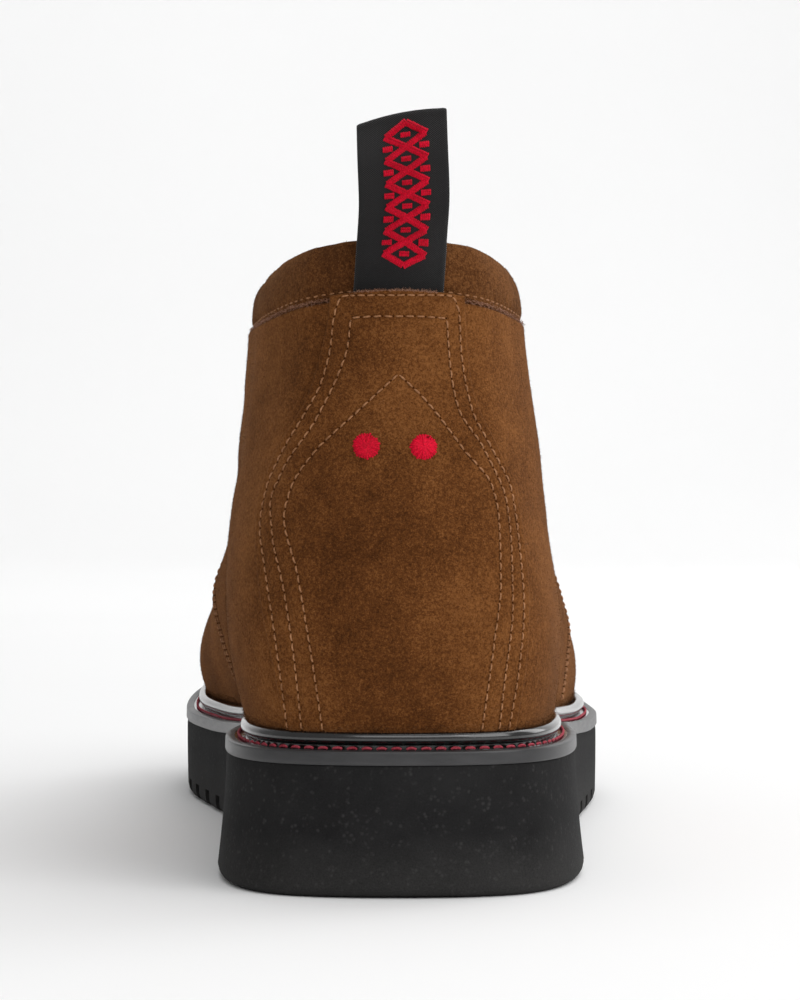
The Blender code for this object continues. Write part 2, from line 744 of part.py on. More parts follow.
def make_eyelets(material, folder):
    inner, barrel = EYELET_HOLE - EYELET_BARREL, EYELET_HOLE - GAP
    under = -(QUARTER + GAP + WALL - 0.1)
    outline = [
        (inner, under),
        (barrel, under),
        (barrel, 1.5 * GAP),
        (EYELET_FLANGE, 1.5 * GAP),
        (EYELET_FLANGE - 0.3, EYELET_TOP - 0.1),
        (inner, EYELET_TOP),
    ]
    for (side, number), seat in eyelet_seats().items():
        turned(f"eyelet_{side}_{number + 1}", outline, seat, material, folder)


def make_eyelet_holes(cutters):
    """One cutter of six pins, for the holes in the quarters and the upper."""
    pins = bmesh.new()
    size = {"radius1": EYELET_HOLE * MM, "radius2": EYELET_HOLE * MM, "depth": 14 * MM}
    for seat in eyelet_seats().values():
        pin = bmesh.ops.create_cone(pins, cap_ends=True, segments=EYELET_SIDES, **size)
        bmesh.ops.transform(pins, matrix=onto_seat(seat), verts=pin["verts"])
    return as_cutter(add_object("eyelet_holes", pins, None, cutters))


def make_lace(material, folder, cutters):
    """Bars that cross the throat. They rest above the eyelets and bow out over the tongue."""
    seats = eyelet_seats()
    clear = EYELET_TOP + 2.5 * GAP + LACE_RADIUS
    ends = {key: foot + axis * clear for key, (foot, axis) in seats.items()}
    pairs = [(("lateral", 2), ("medial", 2))]
    for number in (1, 0):
        pairs.append((("lateral", number + 1), ("medial", number)))
        pairs.append((("medial", number + 1), ("lateral", number)))
    bars = []
    for number, (a, b) in enumerate(pairs):
        start, end = ends[a], ends[b]
        axis = seats[a][1] + seats[b][1]
        bow = axis / np.linalg.norm(axis) * LACE_BOW
        share = np.linspace(0, 1, 6)[:, None]
        points = start * (1 - share) + end * share + bow * 4 * share * (1 - share)
        bars.append(tube(f"lace_bar_{number}", points, LACE_RADIUS, material, cutters if number else folder))
    lace = bars[0]
    lace.name = "lace"
    for bar in bars[1:]:
        as_cutter(bar)
        union = lace.modifiers.new("join", "BOOLEAN")
        union.operation = "UNION"
        union.object = bar
    return lace


def tube(name, points, radius, material, folder):
    curve = bpy.data.curves.new(name, "CURVE")
    curve.dimensions = "3D"
    curve.bevel_depth = radius * MM
    curve.bevel_resolution = 1
    curve.use_fill_caps = True
    line = curve.splines.new("POLY")
    line.points.add(len(points) - 1)
    for point, at in zip(line.points, centred(points)):
        point.co = (*at, 1)
    guide = bpy.data.objects.new(name + "_line", curve)
    bpy.context.scene.collection.objects.link(guide)
    ready = guide.evaluated_get(bpy.context.evaluated_depsgraph_get())
    mesh = bpy.data.meshes.new_from_object(ready)
    bpy.data.objects.remove(guide)
    shape = bmesh.new()
    shape.from_mesh(mesh)
    bmesh.ops.remove_doubles(shape, verts=shape.verts, dist=10 * WELD * MM)
    made = add_object(name, shape, material, folder)
    face_out(made)
    return made


# ---- The collar and its loop of tape -------------------------------------------------------------------


def collar_seat(w):
    """Where the collar stands at w, above both the upper's edge and the panels on it, and its out way."""
    top = np.ones_like(w)
    seat = raw_surface(w, top)
    panel = upper_surface(w, top * LAID_TOP, top * (GAP + QUARTER))
    seat[:, 2] = np.maximum(seat[:, 2], panel[:, 2])
    run = raw_surface(w + 1, top) - raw_surface(w - 1, top)
    out = np.stack([run[:, 1], -run[:, 0], 0 * run[:, 0]], -1)
    return seat, out / np.linalg.norm(out, axis=-1, keepdims=True)


def make_collar(material, folder):
    """The padded band on the top edge, from one facing round the back to the other."""
    section = [
        (COLLAR_OUT - 0.5, GAP),
        (COLLAR_OUT, 3.2),
        (COLLAR_OUT - 0.5, 7.4),
        (COLLAR_OUT - 1.7, COLLAR_HEIGHT - 0.9),
        (-0.9, COLLAR_HEIGHT),
        (1.2 - COLLAR_IN, COLLAR_HEIGHT - 1.0),
        (-COLLAR_IN, 7.0),
        (-COLLAR_IN, 3.0),
        (0.6 - COLLAR_IN, GAP),
    ]
    reach = place(COLLAR_END)
    seats, outs = collar_seat(np.linspace(-reach, reach, 53))
    rows = [[seat + out * o + np.array([0, 0, h]) for o, h in section] for seat, out in zip(seats, outs)]
    made = loft("collar", rows, material, folder, closed=True)
    cap_ends(made)
    face_out(made)
    return made


def back_of_collar(across):
    """The collar's seat at the back of the boot, at each place across it, and the outward way."""
    w = np.linspace(-60, 60, 121)
    seats, _ = collar_seat(w)
    return collar_seat(np.interp(across, seats[:, 0], w))


def tape_outline():
    """The folded tape in section, as (out, height) from the collar's seat: up, over the fold and down."""
    outer, inner = COLLAR_OUT + 2 * GAP + TAPE / 2, -(COLLAR_IN + 3 * GAP + TAPE / 2)
    path = np.array(
        [
            (outer, 0.5),
            (outer, 6.0),
            (outer + 0.7, 12.0),
            (outer + 1.1, 20.0),
            (outer + 0.4, TAPE_ABOVE - 10),
            (0.1, TAPE_ABOVE - 1.6),
            (-0.7, TAPE_ABOVE),
            (-1.5, TAPE_ABOVE - 1.6),
            (inner + 0.2, TAPE_ABOVE - 10),
            (inner - 0.5, 20.0),
            (inner - 0.4, 12.0),
            (inner, 6.0),
            (inner, 2.0),
        ]
    )
    run = np.gradient(path, axis=0)
    side = np.stack([run[:, 1], -run[:, 0]], -1) / np.linalg.norm(run, axis=-1, keepdims=True)
    return np.concatenate([path - side * TAPE / 2, (path + side * TAPE / 2)[::-1]])


def make_pull_loop(material, folder):
    """One leg of the tape lies outside the collar and follows it round, the other inside. Both grow
    straight above the collar, up to a slanted fold."""
    out, height = tape_outline().T
    shares = np.linspace(-0.5, 0.5, 7)
    across = TAPE_WIDTH * shares + TAPE_MIDDLE
    seats, ways = back_of_collar(across)
    middle, _ = back_of_collar(np.array([TAPE_MIDDLE]))
    above = np.clip((height - COLLAR_HEIGHT) / 7.0, 0, 1)
    straight = above * above * (3 - 2 * above)
    rows = []
    for share, x, seat, way in zip(shares, across, seats, ways):
        rise = np.where(height > COLLAR_HEIGHT, height * (1 + share * TAPE_SLANT / TAPE_ABOVE), height)
        y = (seat[1] + way[1] * out) * (1 - straight) + (middle[0, 1] - out) * straight
        z = rise + seat[2] * (1 - straight) + middle[0, 2] * straight
        rows.append(np.stack([np.full_like(y, x), y, z], -1))
    made = loft("pull_loop", rows, material, folder, closed=True)
    cap_ends(made)
    face_out(made)
    return made


# ---- Materials and assembly ----------------------------------------------------------------------------


def brown_suede():
    return finish_material("brown_suede", (0.12, 0.052, 0.02), 0.95)


def collar_suede():
    return finish_material("collar_suede", (0.10, 0.045, 0.018), 0.95)


def tan_lining():
    return finish_material("tan_lining", (0.30, 0.17, 0.09), 0.7)


def black_foam():
    return finish_material("black_foam", (0.02, 0.02, 0.021), 0.9)


def grey_rubber():
    return finish_material("grey_rubber", (0.06, 0.06, 0.063), 0.5)


def black_welt():
    return finish_material("black_welt", (0.012, 0.012, 0.012), 0.2)


def dark_metal():
    return finish_material("dark_metal", (0.05, 0.04, 0.035), 0.35, 0.8)


def brown_cord():
    return finish_material("brown_cord", (0.05, 0.03, 0.02), 0.9)


def black_tape():
    return finish_material("black_tape", (0.015, 0.014, 0.014), 0.8)


def make_room(cutters):
    """The shared cutters: each panel's outline, and the room that the next panel leaves for it."""
    behind = (BEHIND_HEEL, BEFORE_HEEL)
    return {
        "backstay_room": prism("backstay_room", backstay_outline(GAP / 2), behind, cutters, "behind"),
        "backstay_keep": prism("backstay_keep", backstay_outline(-GAP / 2), behind, cutters, "behind"),
        "quarter_room": prism("quarter_room", quarter_outline(), BESIDE, cutters, "side"),
        "eyelet_holes": make_eyelet_holes(cutters),
    }


def main():
    clear_scene()
    boot, cutters = collection("derby_boot"), collection("cutters")
    suede = brown_suede()
    make_outsole(black_foam(), boot, cutters)
    make_midsole(grey_rubber(), boot)
    make_welt(black_welt(), boot)
    make_insole(tan_lining(), boot)
    room = make_room(cutters)
    make_upper(suede, boot, room)
    make_quarter(1, suede, boot, room)
    make_quarter(-1, suede, boot, room)
    make_backstay(suede, boot, room)
    make_collar(collar_suede(), boot)
    make_tongue(suede, boot)
    make_eyelets(dark_metal(), boot)
    make_lace(brown_cord(), boot, cutters)
    make_pull_loop(black_tape(), boot)


main()
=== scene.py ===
# %% [markdown]
# # A suede derby boot, dressed for its picture
# The solids of the boot already exist: a hollow upper with its panels, a padded collar, a tongue, and a
# sole in four layers. This lesson puts the finished leather, thread, tape and foam in their place. Every
# piece is worked out from the same few tables as the solids, so the two always agree.
#
# All tables are in millimetres. +Y points to the toe, +X to the outer side of the foot and +Z up.

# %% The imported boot
import math
import random

import bmesh
import bpy
import numpy as np
from mathutils import Matrix, Vector
from mathutils.kdtree import KDTree


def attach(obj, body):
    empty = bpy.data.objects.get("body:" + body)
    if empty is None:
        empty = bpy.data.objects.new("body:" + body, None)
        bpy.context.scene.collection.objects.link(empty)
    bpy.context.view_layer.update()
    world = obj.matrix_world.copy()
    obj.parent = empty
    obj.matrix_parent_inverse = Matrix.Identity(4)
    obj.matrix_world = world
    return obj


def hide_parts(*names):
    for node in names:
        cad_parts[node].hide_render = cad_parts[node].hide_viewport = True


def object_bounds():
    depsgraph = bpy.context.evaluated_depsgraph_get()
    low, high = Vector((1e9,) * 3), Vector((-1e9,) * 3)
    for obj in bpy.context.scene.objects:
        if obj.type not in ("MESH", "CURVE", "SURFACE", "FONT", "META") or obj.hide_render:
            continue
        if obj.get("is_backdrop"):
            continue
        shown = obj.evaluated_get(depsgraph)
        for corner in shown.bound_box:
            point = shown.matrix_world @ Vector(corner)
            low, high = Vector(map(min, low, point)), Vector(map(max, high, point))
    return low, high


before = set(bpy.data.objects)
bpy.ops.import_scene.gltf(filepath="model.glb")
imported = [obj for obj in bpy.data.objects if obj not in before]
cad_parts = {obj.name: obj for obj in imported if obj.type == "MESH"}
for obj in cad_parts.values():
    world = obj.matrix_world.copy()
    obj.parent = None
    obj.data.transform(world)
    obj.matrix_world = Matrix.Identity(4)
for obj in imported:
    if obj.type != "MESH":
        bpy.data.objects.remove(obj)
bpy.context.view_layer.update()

MM = 0.001

# %% [markdown]
# ## The sizes of the boot
# A bootmaker starts from the last: a foot-shaped block with a measured section every few centimetres.
# The table below is that last in numbers. Each row is one section, from the back of the heel to the toe,
# with the welt's edge on both sides, the top edge of the upper, and how the leather swells between them.

# %% Driving sizes
GAP = 0.3
WALL = 2.0
QUARTER = 1.2
BACKSTAY = 2.0
COLLAR_HEIGHT, COLLAR_OUT, COLLAR_IN = 11.0, 1.7, 3.0
INSOLE, WELT, WELT_REACH, MIDSOLE = 3.0, 1.5, 12.5, 3.2
FEATHER_INSET, STITCH_INSET, BEAD_INSET, BEAD_RADIUS = 7.0, 3.0, 4.75, 1.15
LUG_PITCH, LUG_GAP, LUG_DEPTH = 13.5, 5.0, 4.4
LUG_START = {"forepart": -18.0, "heel": -104.0}
LUG_ROWS = {"forepart": 11, "heel": 3}
LUG_REACH = {"forepart": 16.0, "heel": 11.0}
COLLAR_END, LAID_TOP, SKIRT = 4.7, 0.996, 0.010
TONGUE, TONGUE_TOP, TONGUE_FOOT, TONGUE_LEAVES, TONGUE_SINK = 2.6, 4.95, 8.2, 6.0, 6.5
EYELETS, EYELET_FIRST, EYELET_PITCH, EYELET_CLIMB = 3, 0.14, 0.31, 0.915
EYELET_HOLE, EYELET_TOP = 2.7, 1.15
LACE_RADIUS, LACE_BOW = 1.35, 3.0
TAPE_WIDTH, TAPE, TAPE_ABOVE, TAPE_SLANT, TAPE_MIDDLE = 19.0, 1.1, 37.0, 3.6, 0.3
WELT_BASE = MIDSOLE + 2 * GAP
FEATHER_BASE = WELT_BASE + WELT + GAP

SOLE_PROFILE = {
    "along": (-151, -110, -60, -20, 20, 50, 100, 130, 151),
    "top": (26.6, 26.4, 24.8, 21.6, 19.2, 18.8, 22.0, 25.0, 27.5),
}
TREAD_PROFILE = {
    "along": (-151, -142, -68, -58, -30, -20, 45, 75, 105, 130, 151),
    "under": (0.5, 0.0, 0.0, 6.0, 6.0, 0.0, 0.0, 1.1, 4.2, 8.4, 12.6),
}
FLARE_PROFILE = {"along": (-151, -100, -50, 0, 151), "flare": (1.5, 1.7, 0.8, -0.4, -0.4)}
COLUMNS = (
    "name along medial lateral top_along top_height top_medial top_lateral "
    "swell_medial swell_lateral rise shoulder_medial shoulder_lateral drop"
).split()
SECTIONS = [
    ("heel_back", -148.6, 0.5, 0.5, -137.5, 126.0, -1.0, -1.0, 12.0, 12.0, 30, -2.0, -2.0, 34),
    ("heel_corner", -141.0, -27.6, 27.4, -131.5, 124.4, -18.0, 15.4, 12.0, 11.5, 31, -1.0, -1.0, 33),
    ("heel_side", -111, -38.0, 38.6, -108.0, 120.5, -29.8, 25.8, 12.6, 6.0, 32, 0.4, 2.4, 32),
    ("shank", -68, -36.8, 40.0, -81.0, 119.5, -32.2, 25.4, 11.0, 8.0, 31, 2.0, 2.4, 30),
    ("waist", -30, -37.6, 43.6, -58.0, 118.5, -27.5, 21.5, 10.5, 5.5, 29, 9.0, 6.0, 20),
    ("facing_top", 0, -43.0, 48.2, -45.0, 116.5, -13.0, 9.0, 11.0, 6.0, 26, 18.0, 14.0, 8),
    ("facing_middle", 26, -49.0, 52.4, -22.0, 98.5, -10.0, 7.0, 12.0, 7.6, 24, 24.0, 17.0, 4),
    ("throat", 48, -53.6, 54.4, -1.0, 85.5, -1.6, -1.6, 13.0, 9.6, 23, 28.0, 24.0, 1),
    ("ball", 68, -55.2, 53.0, 28.0, 72.5, -3.0, -3.0, 13.5, 12.5, 21, 28.0, 27.0, 1),
    ("toe_shoulder", 100, -51.4, 45.4, 66.0, 61.0, -5.6, -5.6, 12.5, 12.5, 19, 26.0, 26.0, 1),
    ("toe_corner", 128, -40.6, 31.6, 92.0, 55.0, -7.2, -7.2, 11.0, 11.0, 17, 22.0, 22.0, 1.5),
    ("toe_side", 144, -26.0, 13.0, 103.0, 52.4, -7.8, -7.8, 10.0, 10.0, 16, 20.0, 20.0, 2),
    ("toe_tip", 150, -7.0, -7.0, 106.0, 51.6, -8.0, -8.0, 9.5, 9.5, 16, 19.0, 19.0, 2),
]
ROW = {row[0]: number for number, row in enumerate(SECTIONS)}
BACKSTAY_SHAPE = {
    "height": (25, 36, 48, 61, 74, 82, 91, 107, 125, 132),
    "medial": (-22.5, -24.4, -26.6, -29.2, -30.4, -30.2, -27.0, -18.6, -14.8, -14.6),
    "lateral": (22.5, 24.2, 26.2, 26.8, 26.0, 24.8, 21.6, 14.8, 13.2, 12.8),
}
QUARTER_FRONT = {"height": (20, 32, 50, 66, 78, 86, 92), "along": (-12, -4, 12, 22, 22, 14, 2)}
BESIDE_SEAM, BETWEEN_SEAMS, BESIDE_FACING, QUARTER_TUCK = 2.3, 2.3, 2.2, 5.0
TONGUE_CREST = {
    "rise": (6, 12, 18, 22, 24),
    "lean": (8, 11, 12.5, 13, 13),
    "width": (1.0, 1.12, 1.22, 1.08, 0.7),
}
print("sections:", len(SECTIONS))

# %% [markdown]
# ## Small helpers
# Each of these is a piece of school geometry that returns many times below: a direction of length one, a
# soft step, a quarter circle, the spokes of a wheel, and a line with its distances.


# %% Small helpers
def unit(ways):
    """The same ways with a length of one."""
    return ways / np.maximum(np.linalg.norm(ways, axis=-1, keepdims=True), 1e-9)


def ease(share):
    """Climbs from 0 to 1 with soft ends."""
    share = np.clip(share, 0, 1)
    return share * share * (3 - 2 * share)


def round_over(share):
    """The height of a quarter circle, at a share of its width."""
    return np.sqrt(np.clip(1 - (1 - np.clip(share, 0, 1)) ** 2, 0, 1))


def turns(count):
    return np.linspace(0, 2 * math.pi, count, endpoint=False)


def spokes(side, up, count):
    """Ways out from an axis, all round it. side and up are at right angles to it and to each other."""
    turn = turns(count)[:, None]
    return side[..., None, :] * np.cos(turn) + up[..., None, :] * np.sin(turn)


def cubic(start, first, second, end, s):
    """A curve from start to end that leaves towards first and arrives from second."""
    return start * (1 - s) ** 3 + first * 3 * (1 - s) ** 2 * s + second * 3 * (1 - s) * s**2 + end * s**3


def relaxed(points, rounds):
    """Each row of points moved towards its neighbours, so many times over. The ends stay."""
    for _ in range(rounds):
        points[1:-1] = (points[:-2] + 2 * points[1:-1] + points[2:]) / 4
    return points


def distances(points):
    """How far along a line each of its points lies."""
    return np.concatenate([[0], np.cumsum(np.linalg.norm(np.diff(points, axis=0), axis=1))])


def points_at(at, knots, points):
    return np.stack([np.interp(at, knots, points[:, k]) for k in range(3)], -1)


# %% [markdown]
# ## Curves through the tables
# The rows are joined by curves. One kind never swings past its values, which keeps a profile honest. The
# other closes smoothly on itself, which the sole's outline needs.


# %% Curves
def column(name):
    return np.array([row[COLUMNS.index(name)] for row in SECTIONS], float)


def smooth(at, knots, values):
    """A curve through the values that never swings past them (monotone cubic)."""
    knots, values = np.asarray(knots, float), np.asarray(values, float)
    step = np.diff(knots)
    slope = np.diff(values) / step
    tangent = np.empty(len(knots))
    tangent[0], tangent[-1] = slope[0], slope[-1]
    same_way = slope[:-1] * slope[1:] > 0
    weight_a, weight_b = 2 * step[1:] + step[:-1], step[1:] + 2 * step[:-1]
    with np.errstate(divide="ignore", invalid="ignore"):
        mean = (weight_a + weight_b) / (weight_a / slope[:-1] + weight_b / slope[1:])
    tangent[1:-1] = np.where(same_way, mean, 0.0)
    at = np.clip(at, knots[0], knots[-1])
    i = np.clip(np.searchsorted(knots, at, side="right") - 1, 0, len(step) - 1)
    h = step[i]
    s = (at - knots[i]) / h
    return (
        values[i] * (1 + 2 * s) * (1 - s) ** 2
        + values[i + 1] * s**2 * (3 - 2 * s)
        + h * s * (1 - s) * (tangent[i] * (1 - s) - tangent[i + 1] * s)
    )


class Loop:
    """A closed cubic curve through values at knots, which is smooth all the way round."""

    def __init__(self, knots, values, period):
        self.knots, self.period = np.append(knots, period), period
        self.values = np.append(values, values[0])
        h = np.diff(self.knots)
        count = len(h)
        system, right = np.zeros((count, count)), np.zeros(count)
        slope = np.diff(self.values) / h
        for i in range(count):
            system[i, i - 1] = h[i - 1]
            system[i, i] = 2 * (h[i - 1] + h[i])
            system[i, (i + 1) % count] = h[i]
            right[i] = 6 * (slope[i] - slope[i - 1])
        self.bend = np.append(np.linalg.solve(system, right), 0.0)
        self.bend[-1] = self.bend[0]

    def __call__(self, at):
        at = np.mod(at, self.period)
        i = np.clip(np.searchsorted(self.knots, at, side="right") - 1, 0, len(self.knots) - 2)
        h = self.knots[i + 1] - self.knots[i]
        a, b = (self.knots[i + 1] - at) / h, (at - self.knots[i]) / h
        bow = ((a**3 - a) * self.bend[i] + (b**3 - b) * self.bend[i + 1]) * h**2 / 6
        return a * self.values[i] + b * self.values[i + 1] + bow


# %% [markdown]
# ## The outline in plan
# A place round the boot is one number, in millimetres: 0 at the back of the heel, up along the lateral
# side to the toe, and back along the medial side. The outline gives the point on the ground for it.


# %% The outline in plan
def section_places():
    """How far round the shoe each section lies, from the heel to the toe."""
    along = column("along")
    sides = [np.hypot(np.diff(column(side)), np.diff(along)) for side in ("medial", "lateral")]
    return np.concatenate([[0.0], np.cumsum((sides[0] + sides[1]) / 2)])


PLACES = section_places()
HALF_WAY = PLACES[-1]
AROUND = 2 * HALF_WAY
THROAT = PLACES[ROW["throat"]]
LOOP_KNOTS = np.concatenate([PLACES, AROUND - PLACES[-2:0:-1]])


def both_sides(medial, lateral):
    return np.concatenate([column(lateral), column(medial)[-2:0:-1]])


EDGE_X = Loop(LOOP_KNOTS, both_sides("medial", "lateral"), AROUND)
EDGE_Y = Loop(LOOP_KNOTS, both_sides("along", "along"), AROUND)


def place(row):
    return np.interp(row, range(len(PLACES)), PLACES)


def edge(w, inset=0.0):
    """The midsole's edge in plan at w, moved in by inset, and the outward direction there."""
    step = 0.5
    x, y = EDGE_X(w), EDGE_Y(w)
    tangent_x, tangent_y = EDGE_X(w + step) - EDGE_X(w - step), EDGE_Y(w + step) - EDGE_Y(w - step)
    length = np.hypot(tangent_x, tangent_y)
    out_x, out_y = tangent_y / length, -tangent_x / length
    return x - out_x * inset, y - out_y * inset, out_x, out_y


def profile(table, name, at, knots="along"):
    return smooth(at, table[knots], table[name])


def sole_top(along):
    return profile(SOLE_PROFILE, "top", along)


def centre_shift():
    """What moves the tables so that the outsole's foot is centred over the origin."""
    w = np.linspace(0, AROUND, 2000)
    _, y, _, _ = edge(w)
    x, y, _, _ = edge(w, -profile(FLARE_PROFILE, "flare", y))
    return np.array([-(x.max() + x.min()) / 2, -(y.max() + y.min()) / 2, 0.0])


SHIFT = centre_shift()
print("round the boot:", round(AROUND), "mm")

# %% [markdown]
# ## The form of the upper
# Wet leather is pulled over the last and dries in its shape. Here a cubic climbs from the feather line,
# where the upper meets the welt, to its top edge, at every place round the boot. `w` says how far round,
# `t` how far up. A worn-in or hand-lasted upper is never a perfect surface, so soft troughs and ridges
# are laid on it: each is a short line with a width and a depth.


# %% The last as a function
def side_value(w, medial, lateral):
    values = both_sides(medial, lateral)
    knots = np.concatenate([LOOP_KNOTS - AROUND, LOOP_KNOTS, LOOP_KNOTS + AROUND])
    return smooth(np.mod(w, AROUND), knots, np.tile(values, 3))


def top_value(w, medial, lateral):
    """The same for the top edge, whose facing and ridge meet at a corner at the throat."""
    throat = ROW["throat"]
    inner, outer = column(medial), column(lateral)
    w = np.mod(w, AROUND)
    from_heel = np.where(w > HALF_WAY, w - AROUND, w)
    heel_knots = np.concatenate([-PLACES[throat:0:-1], PLACES[: throat + 1]])
    behind = smooth(from_heel, heel_knots, np.concatenate([inner[throat:0:-1], outer[: throat + 1]]))
    toe_knots = np.concatenate([PLACES[throat:] - HALF_WAY, HALF_WAY - PLACES[-2 : throat - 1 : -1]])
    ahead = smooth(w - HALF_WAY, toe_knots, np.concatenate([outer[throat:], inner[-2 : throat - 1 : -1]]))
    return np.where(np.abs(from_heel) < THROAT, behind, ahead)


def top_slope(w):
    reach = 9.0
    u = np.mod(w, AROUND)
    u = np.where(u <= HALF_WAY, u, AROUND - u)
    low, high = np.clip(u - reach, 0, HALF_WAY), np.clip(u + reach, 0, HALF_WAY)
    names = ("top_along", "top_height")
    run, climb = (top_value(high, name, name) - top_value(low, name, name) for name in names)
    return climb / run


def raw_surface(w, t):
    """Points of the upper's form: at each w a cubic runs from the feather line to the top edge."""
    w, t = np.broadcast_arrays(np.asarray(w, float), np.asarray(t, float))
    x, y, out_x, out_y = edge(w, FEATHER_INSET)
    feather = np.stack([x, y, sole_top(y) + FEATHER_BASE], -1)
    top_names = (("top_medial", "top_lateral"), ("top_along", "top_along"), ("top_height", "top_height"))
    top = np.stack([top_value(w, *names) for names in top_names], -1)
    out = np.stack([out_x, out_y, np.zeros_like(out_x)], -1)
    along_top = np.stack([out_x, out_y, out_y * top_slope(w)], -1)
    up = np.array([0.0, 0.0, 1.0])
    leads = (("swell_medial", "swell_lateral"), ("rise", "rise"), ("shoulder_medial", "shoulder_lateral"))
    swell, rise, shoulder, drop = (side_value(w, *names)[..., None] for names in (*leads, ("drop", "drop")))
    first, second = feather + out * swell + up * rise, top + along_top * shoulder - up * drop
    t = t[..., None]
    return cubic(feather, first, second, top, t)


def outward(w, t):
    step_w, step_t = 0.4, 0.01
    low, high = np.clip(t - step_t, 0, 1), np.clip(t + step_t, 0, 1)
    across = raw_surface(w + step_w, t) - raw_surface(w - step_w, t)
    normal = np.cross(across, raw_surface(w, high) - raw_surface(w, low))
    return unit(normal)


def upper_surface(w, t, out):
    """Points of the upper, moved out from its form by out along its own normal."""
    w, t = np.broadcast_arrays(np.asarray(w, float), np.asarray(t, float))
    normal = outward(w, t)
    from_heel = np.minimum(np.mod(w, AROUND), AROUND - np.mod(w, AROUND))
    on_ridge = (t > 0.9999) & (from_heel > THROAT - 0.01)
    both = unit(normal + outward(AROUND - w, t))
    normal = np.where(on_ridge[..., None], both, normal)
    return raw_surface(w, t) + normal * np.broadcast_to(out, w.shape)[..., None]


print("heel height of the form:", raw_surface(0.0, 1.0)[2])

# %% [markdown]
# Creases are placed where a foot bends the leather: across the vamp behind the toes, at the ankle
# above the heel, and where the counter's stiff edge ends. Each row gives its two ends as section and
# climb, then its width and depth in millimetres. A negative depth is a ridge.


# %% Creases and unevenness
CREASES = [
    # side, section and climb of one end, of the other end, width, depth
    ("lateral", 7.6, 0.52, 8.4, 0.97, 5.0, 0.55),
    ("lateral", 8.2, 0.42, 8.9, 0.98, 6.0, 0.45),
    ("medial", 7.5, 0.55, 8.3, 0.97, 5.5, 0.5),
    ("medial", 8.1, 0.45, 8.8, 0.98, 6.0, 0.45),
    ("lateral", 2.0, 0.62, 3.6, 0.70, 8.0, 0.5),
    ("lateral", 2.6, 0.80, 4.4, 0.72, 7.0, 0.45),
    ("medial", 2.0, 0.66, 3.4, 0.60, 8.0, 0.5),
    ("medial", 2.7, 0.82, 4.5, 0.74, 7.0, 0.45),
    ("lateral", 4.6, 0.35, 5.8, 0.55, 9.0, 0.5),
    ("medial", 4.6, 0.35, 5.8, 0.55, 9.0, 0.5),
    ("lateral", 1.7, 0.49, 3.4, 0.45, 22.0, 1.3),
    ("lateral", 5.2, 0.38, 6.9, 0.30, 14.0, 0.8),
    ("lateral", 0.0, 0.68, 0.9, 0.62, 7.0, 0.25),
    ("medial", 0.0, 0.66, 1.0, 0.74, 7.0, 0.3),
]
CLIMB_LENGTH = 95.0  # millimetres from the feather line to the top edge, about the same all round
WAVES, WAVE_HEIGHT = 9, 0.055
FADE_BELOW, FADE_ABOVE = 0.12, 0.06
TUCK_DEPTH, TUCK_CLIMB = 2.2, 0.045


def unevenness(w, t):
    """Long low waves that no last has and every real upper shows."""
    draw = random.Random(4)
    total = np.zeros(np.broadcast(w, t).shape)
    turn = 2 * math.pi / AROUND
    for _ in range(WAVES):
        waves_round, waves_up = draw.randint(4, 30), draw.uniform(0.5, 3.0)
        phase_a, phase_b = draw.uniform(0, 6.3), draw.uniform(0, 6.3)
        total = total + np.sin(turn * waves_round * w + phase_a) * np.sin(math.pi * waves_up * t + phase_b)
    return total * WAVE_HEIGHT


def creases(w, t):
    """How far the leather lies above the smooth form at each place."""
    w = np.mod(w, AROUND)
    total = np.zeros(np.broadcast(w, t).shape)
    for side, row_a, t_a, row_b, t_b, width, depth in CREASES:
        start, end = place(row_a), place(row_b)
        if side == "medial":
            start, end = AROUND - start, AROUND - end
        line = np.array([end - start, (t_b - t_a) * CLIMB_LENGTH])
        gap_w = np.mod(w - start + HALF_WAY, AROUND) - HALF_WAY
        gap_t = (t - t_a) * CLIMB_LENGTH
        share = np.clip((gap_w * line[0] + gap_t * line[1]) / (line @ line), 0, 1)
        far = np.hypot(gap_w - share * line[0], gap_t - share * line[1])
        total = total - depth * np.exp(-((far / width * 1.7) ** 2)) * np.sin(np.pi * (0.15 + 0.7 * share))
    return total


def relief(w, t):
    """Both together, fading out towards the feather line and the top edge."""
    return (creases(w, t) + unevenness(w, t)) * ease(np.minimum(t / FADE_BELOW, (1 - t) / FADE_ABOVE))


def tuck(t):
    """The lowest few millimetres turn in under the last, behind the welt's bead."""
    return -TUCK_DEPTH * np.clip(1 - t / TUCK_CLIMB, 0, 1) ** 2


def skin(w, t, out):
    """The dressed leather at w and t, out millimetres above the form."""
    w, t = np.broadcast_arrays(np.asarray(w, float), np.asarray(t, float))
    return upper_surface(w, t, relief(w, t) + out + tuck(t) * (np.asarray(out) > -0.5))


sampled = relief(np.linspace(0, AROUND, 300)[:, None], np.linspace(0, 1, 60))
print("deepest crease:", round(float(sampled.min()), 2))

# %% [markdown]
# ## From sheets of points to meshes
# Most pieces here are sheets: a grid of points that bends in space. A small builder collects the sheets
# of one piece, joins them where they meet, and gives the piece its finish, its body and the solid that it
# stands for.


# %% The mesh builder
ODD_WAY = [0.31, 0.52, 0.79]  # no rod here runs this way, so its cross product never vanishes


def into_scene(name, data):
    made = bpy.data.objects.new(name, data)
    bpy.context.scene.collection.objects.link(made)
    return made


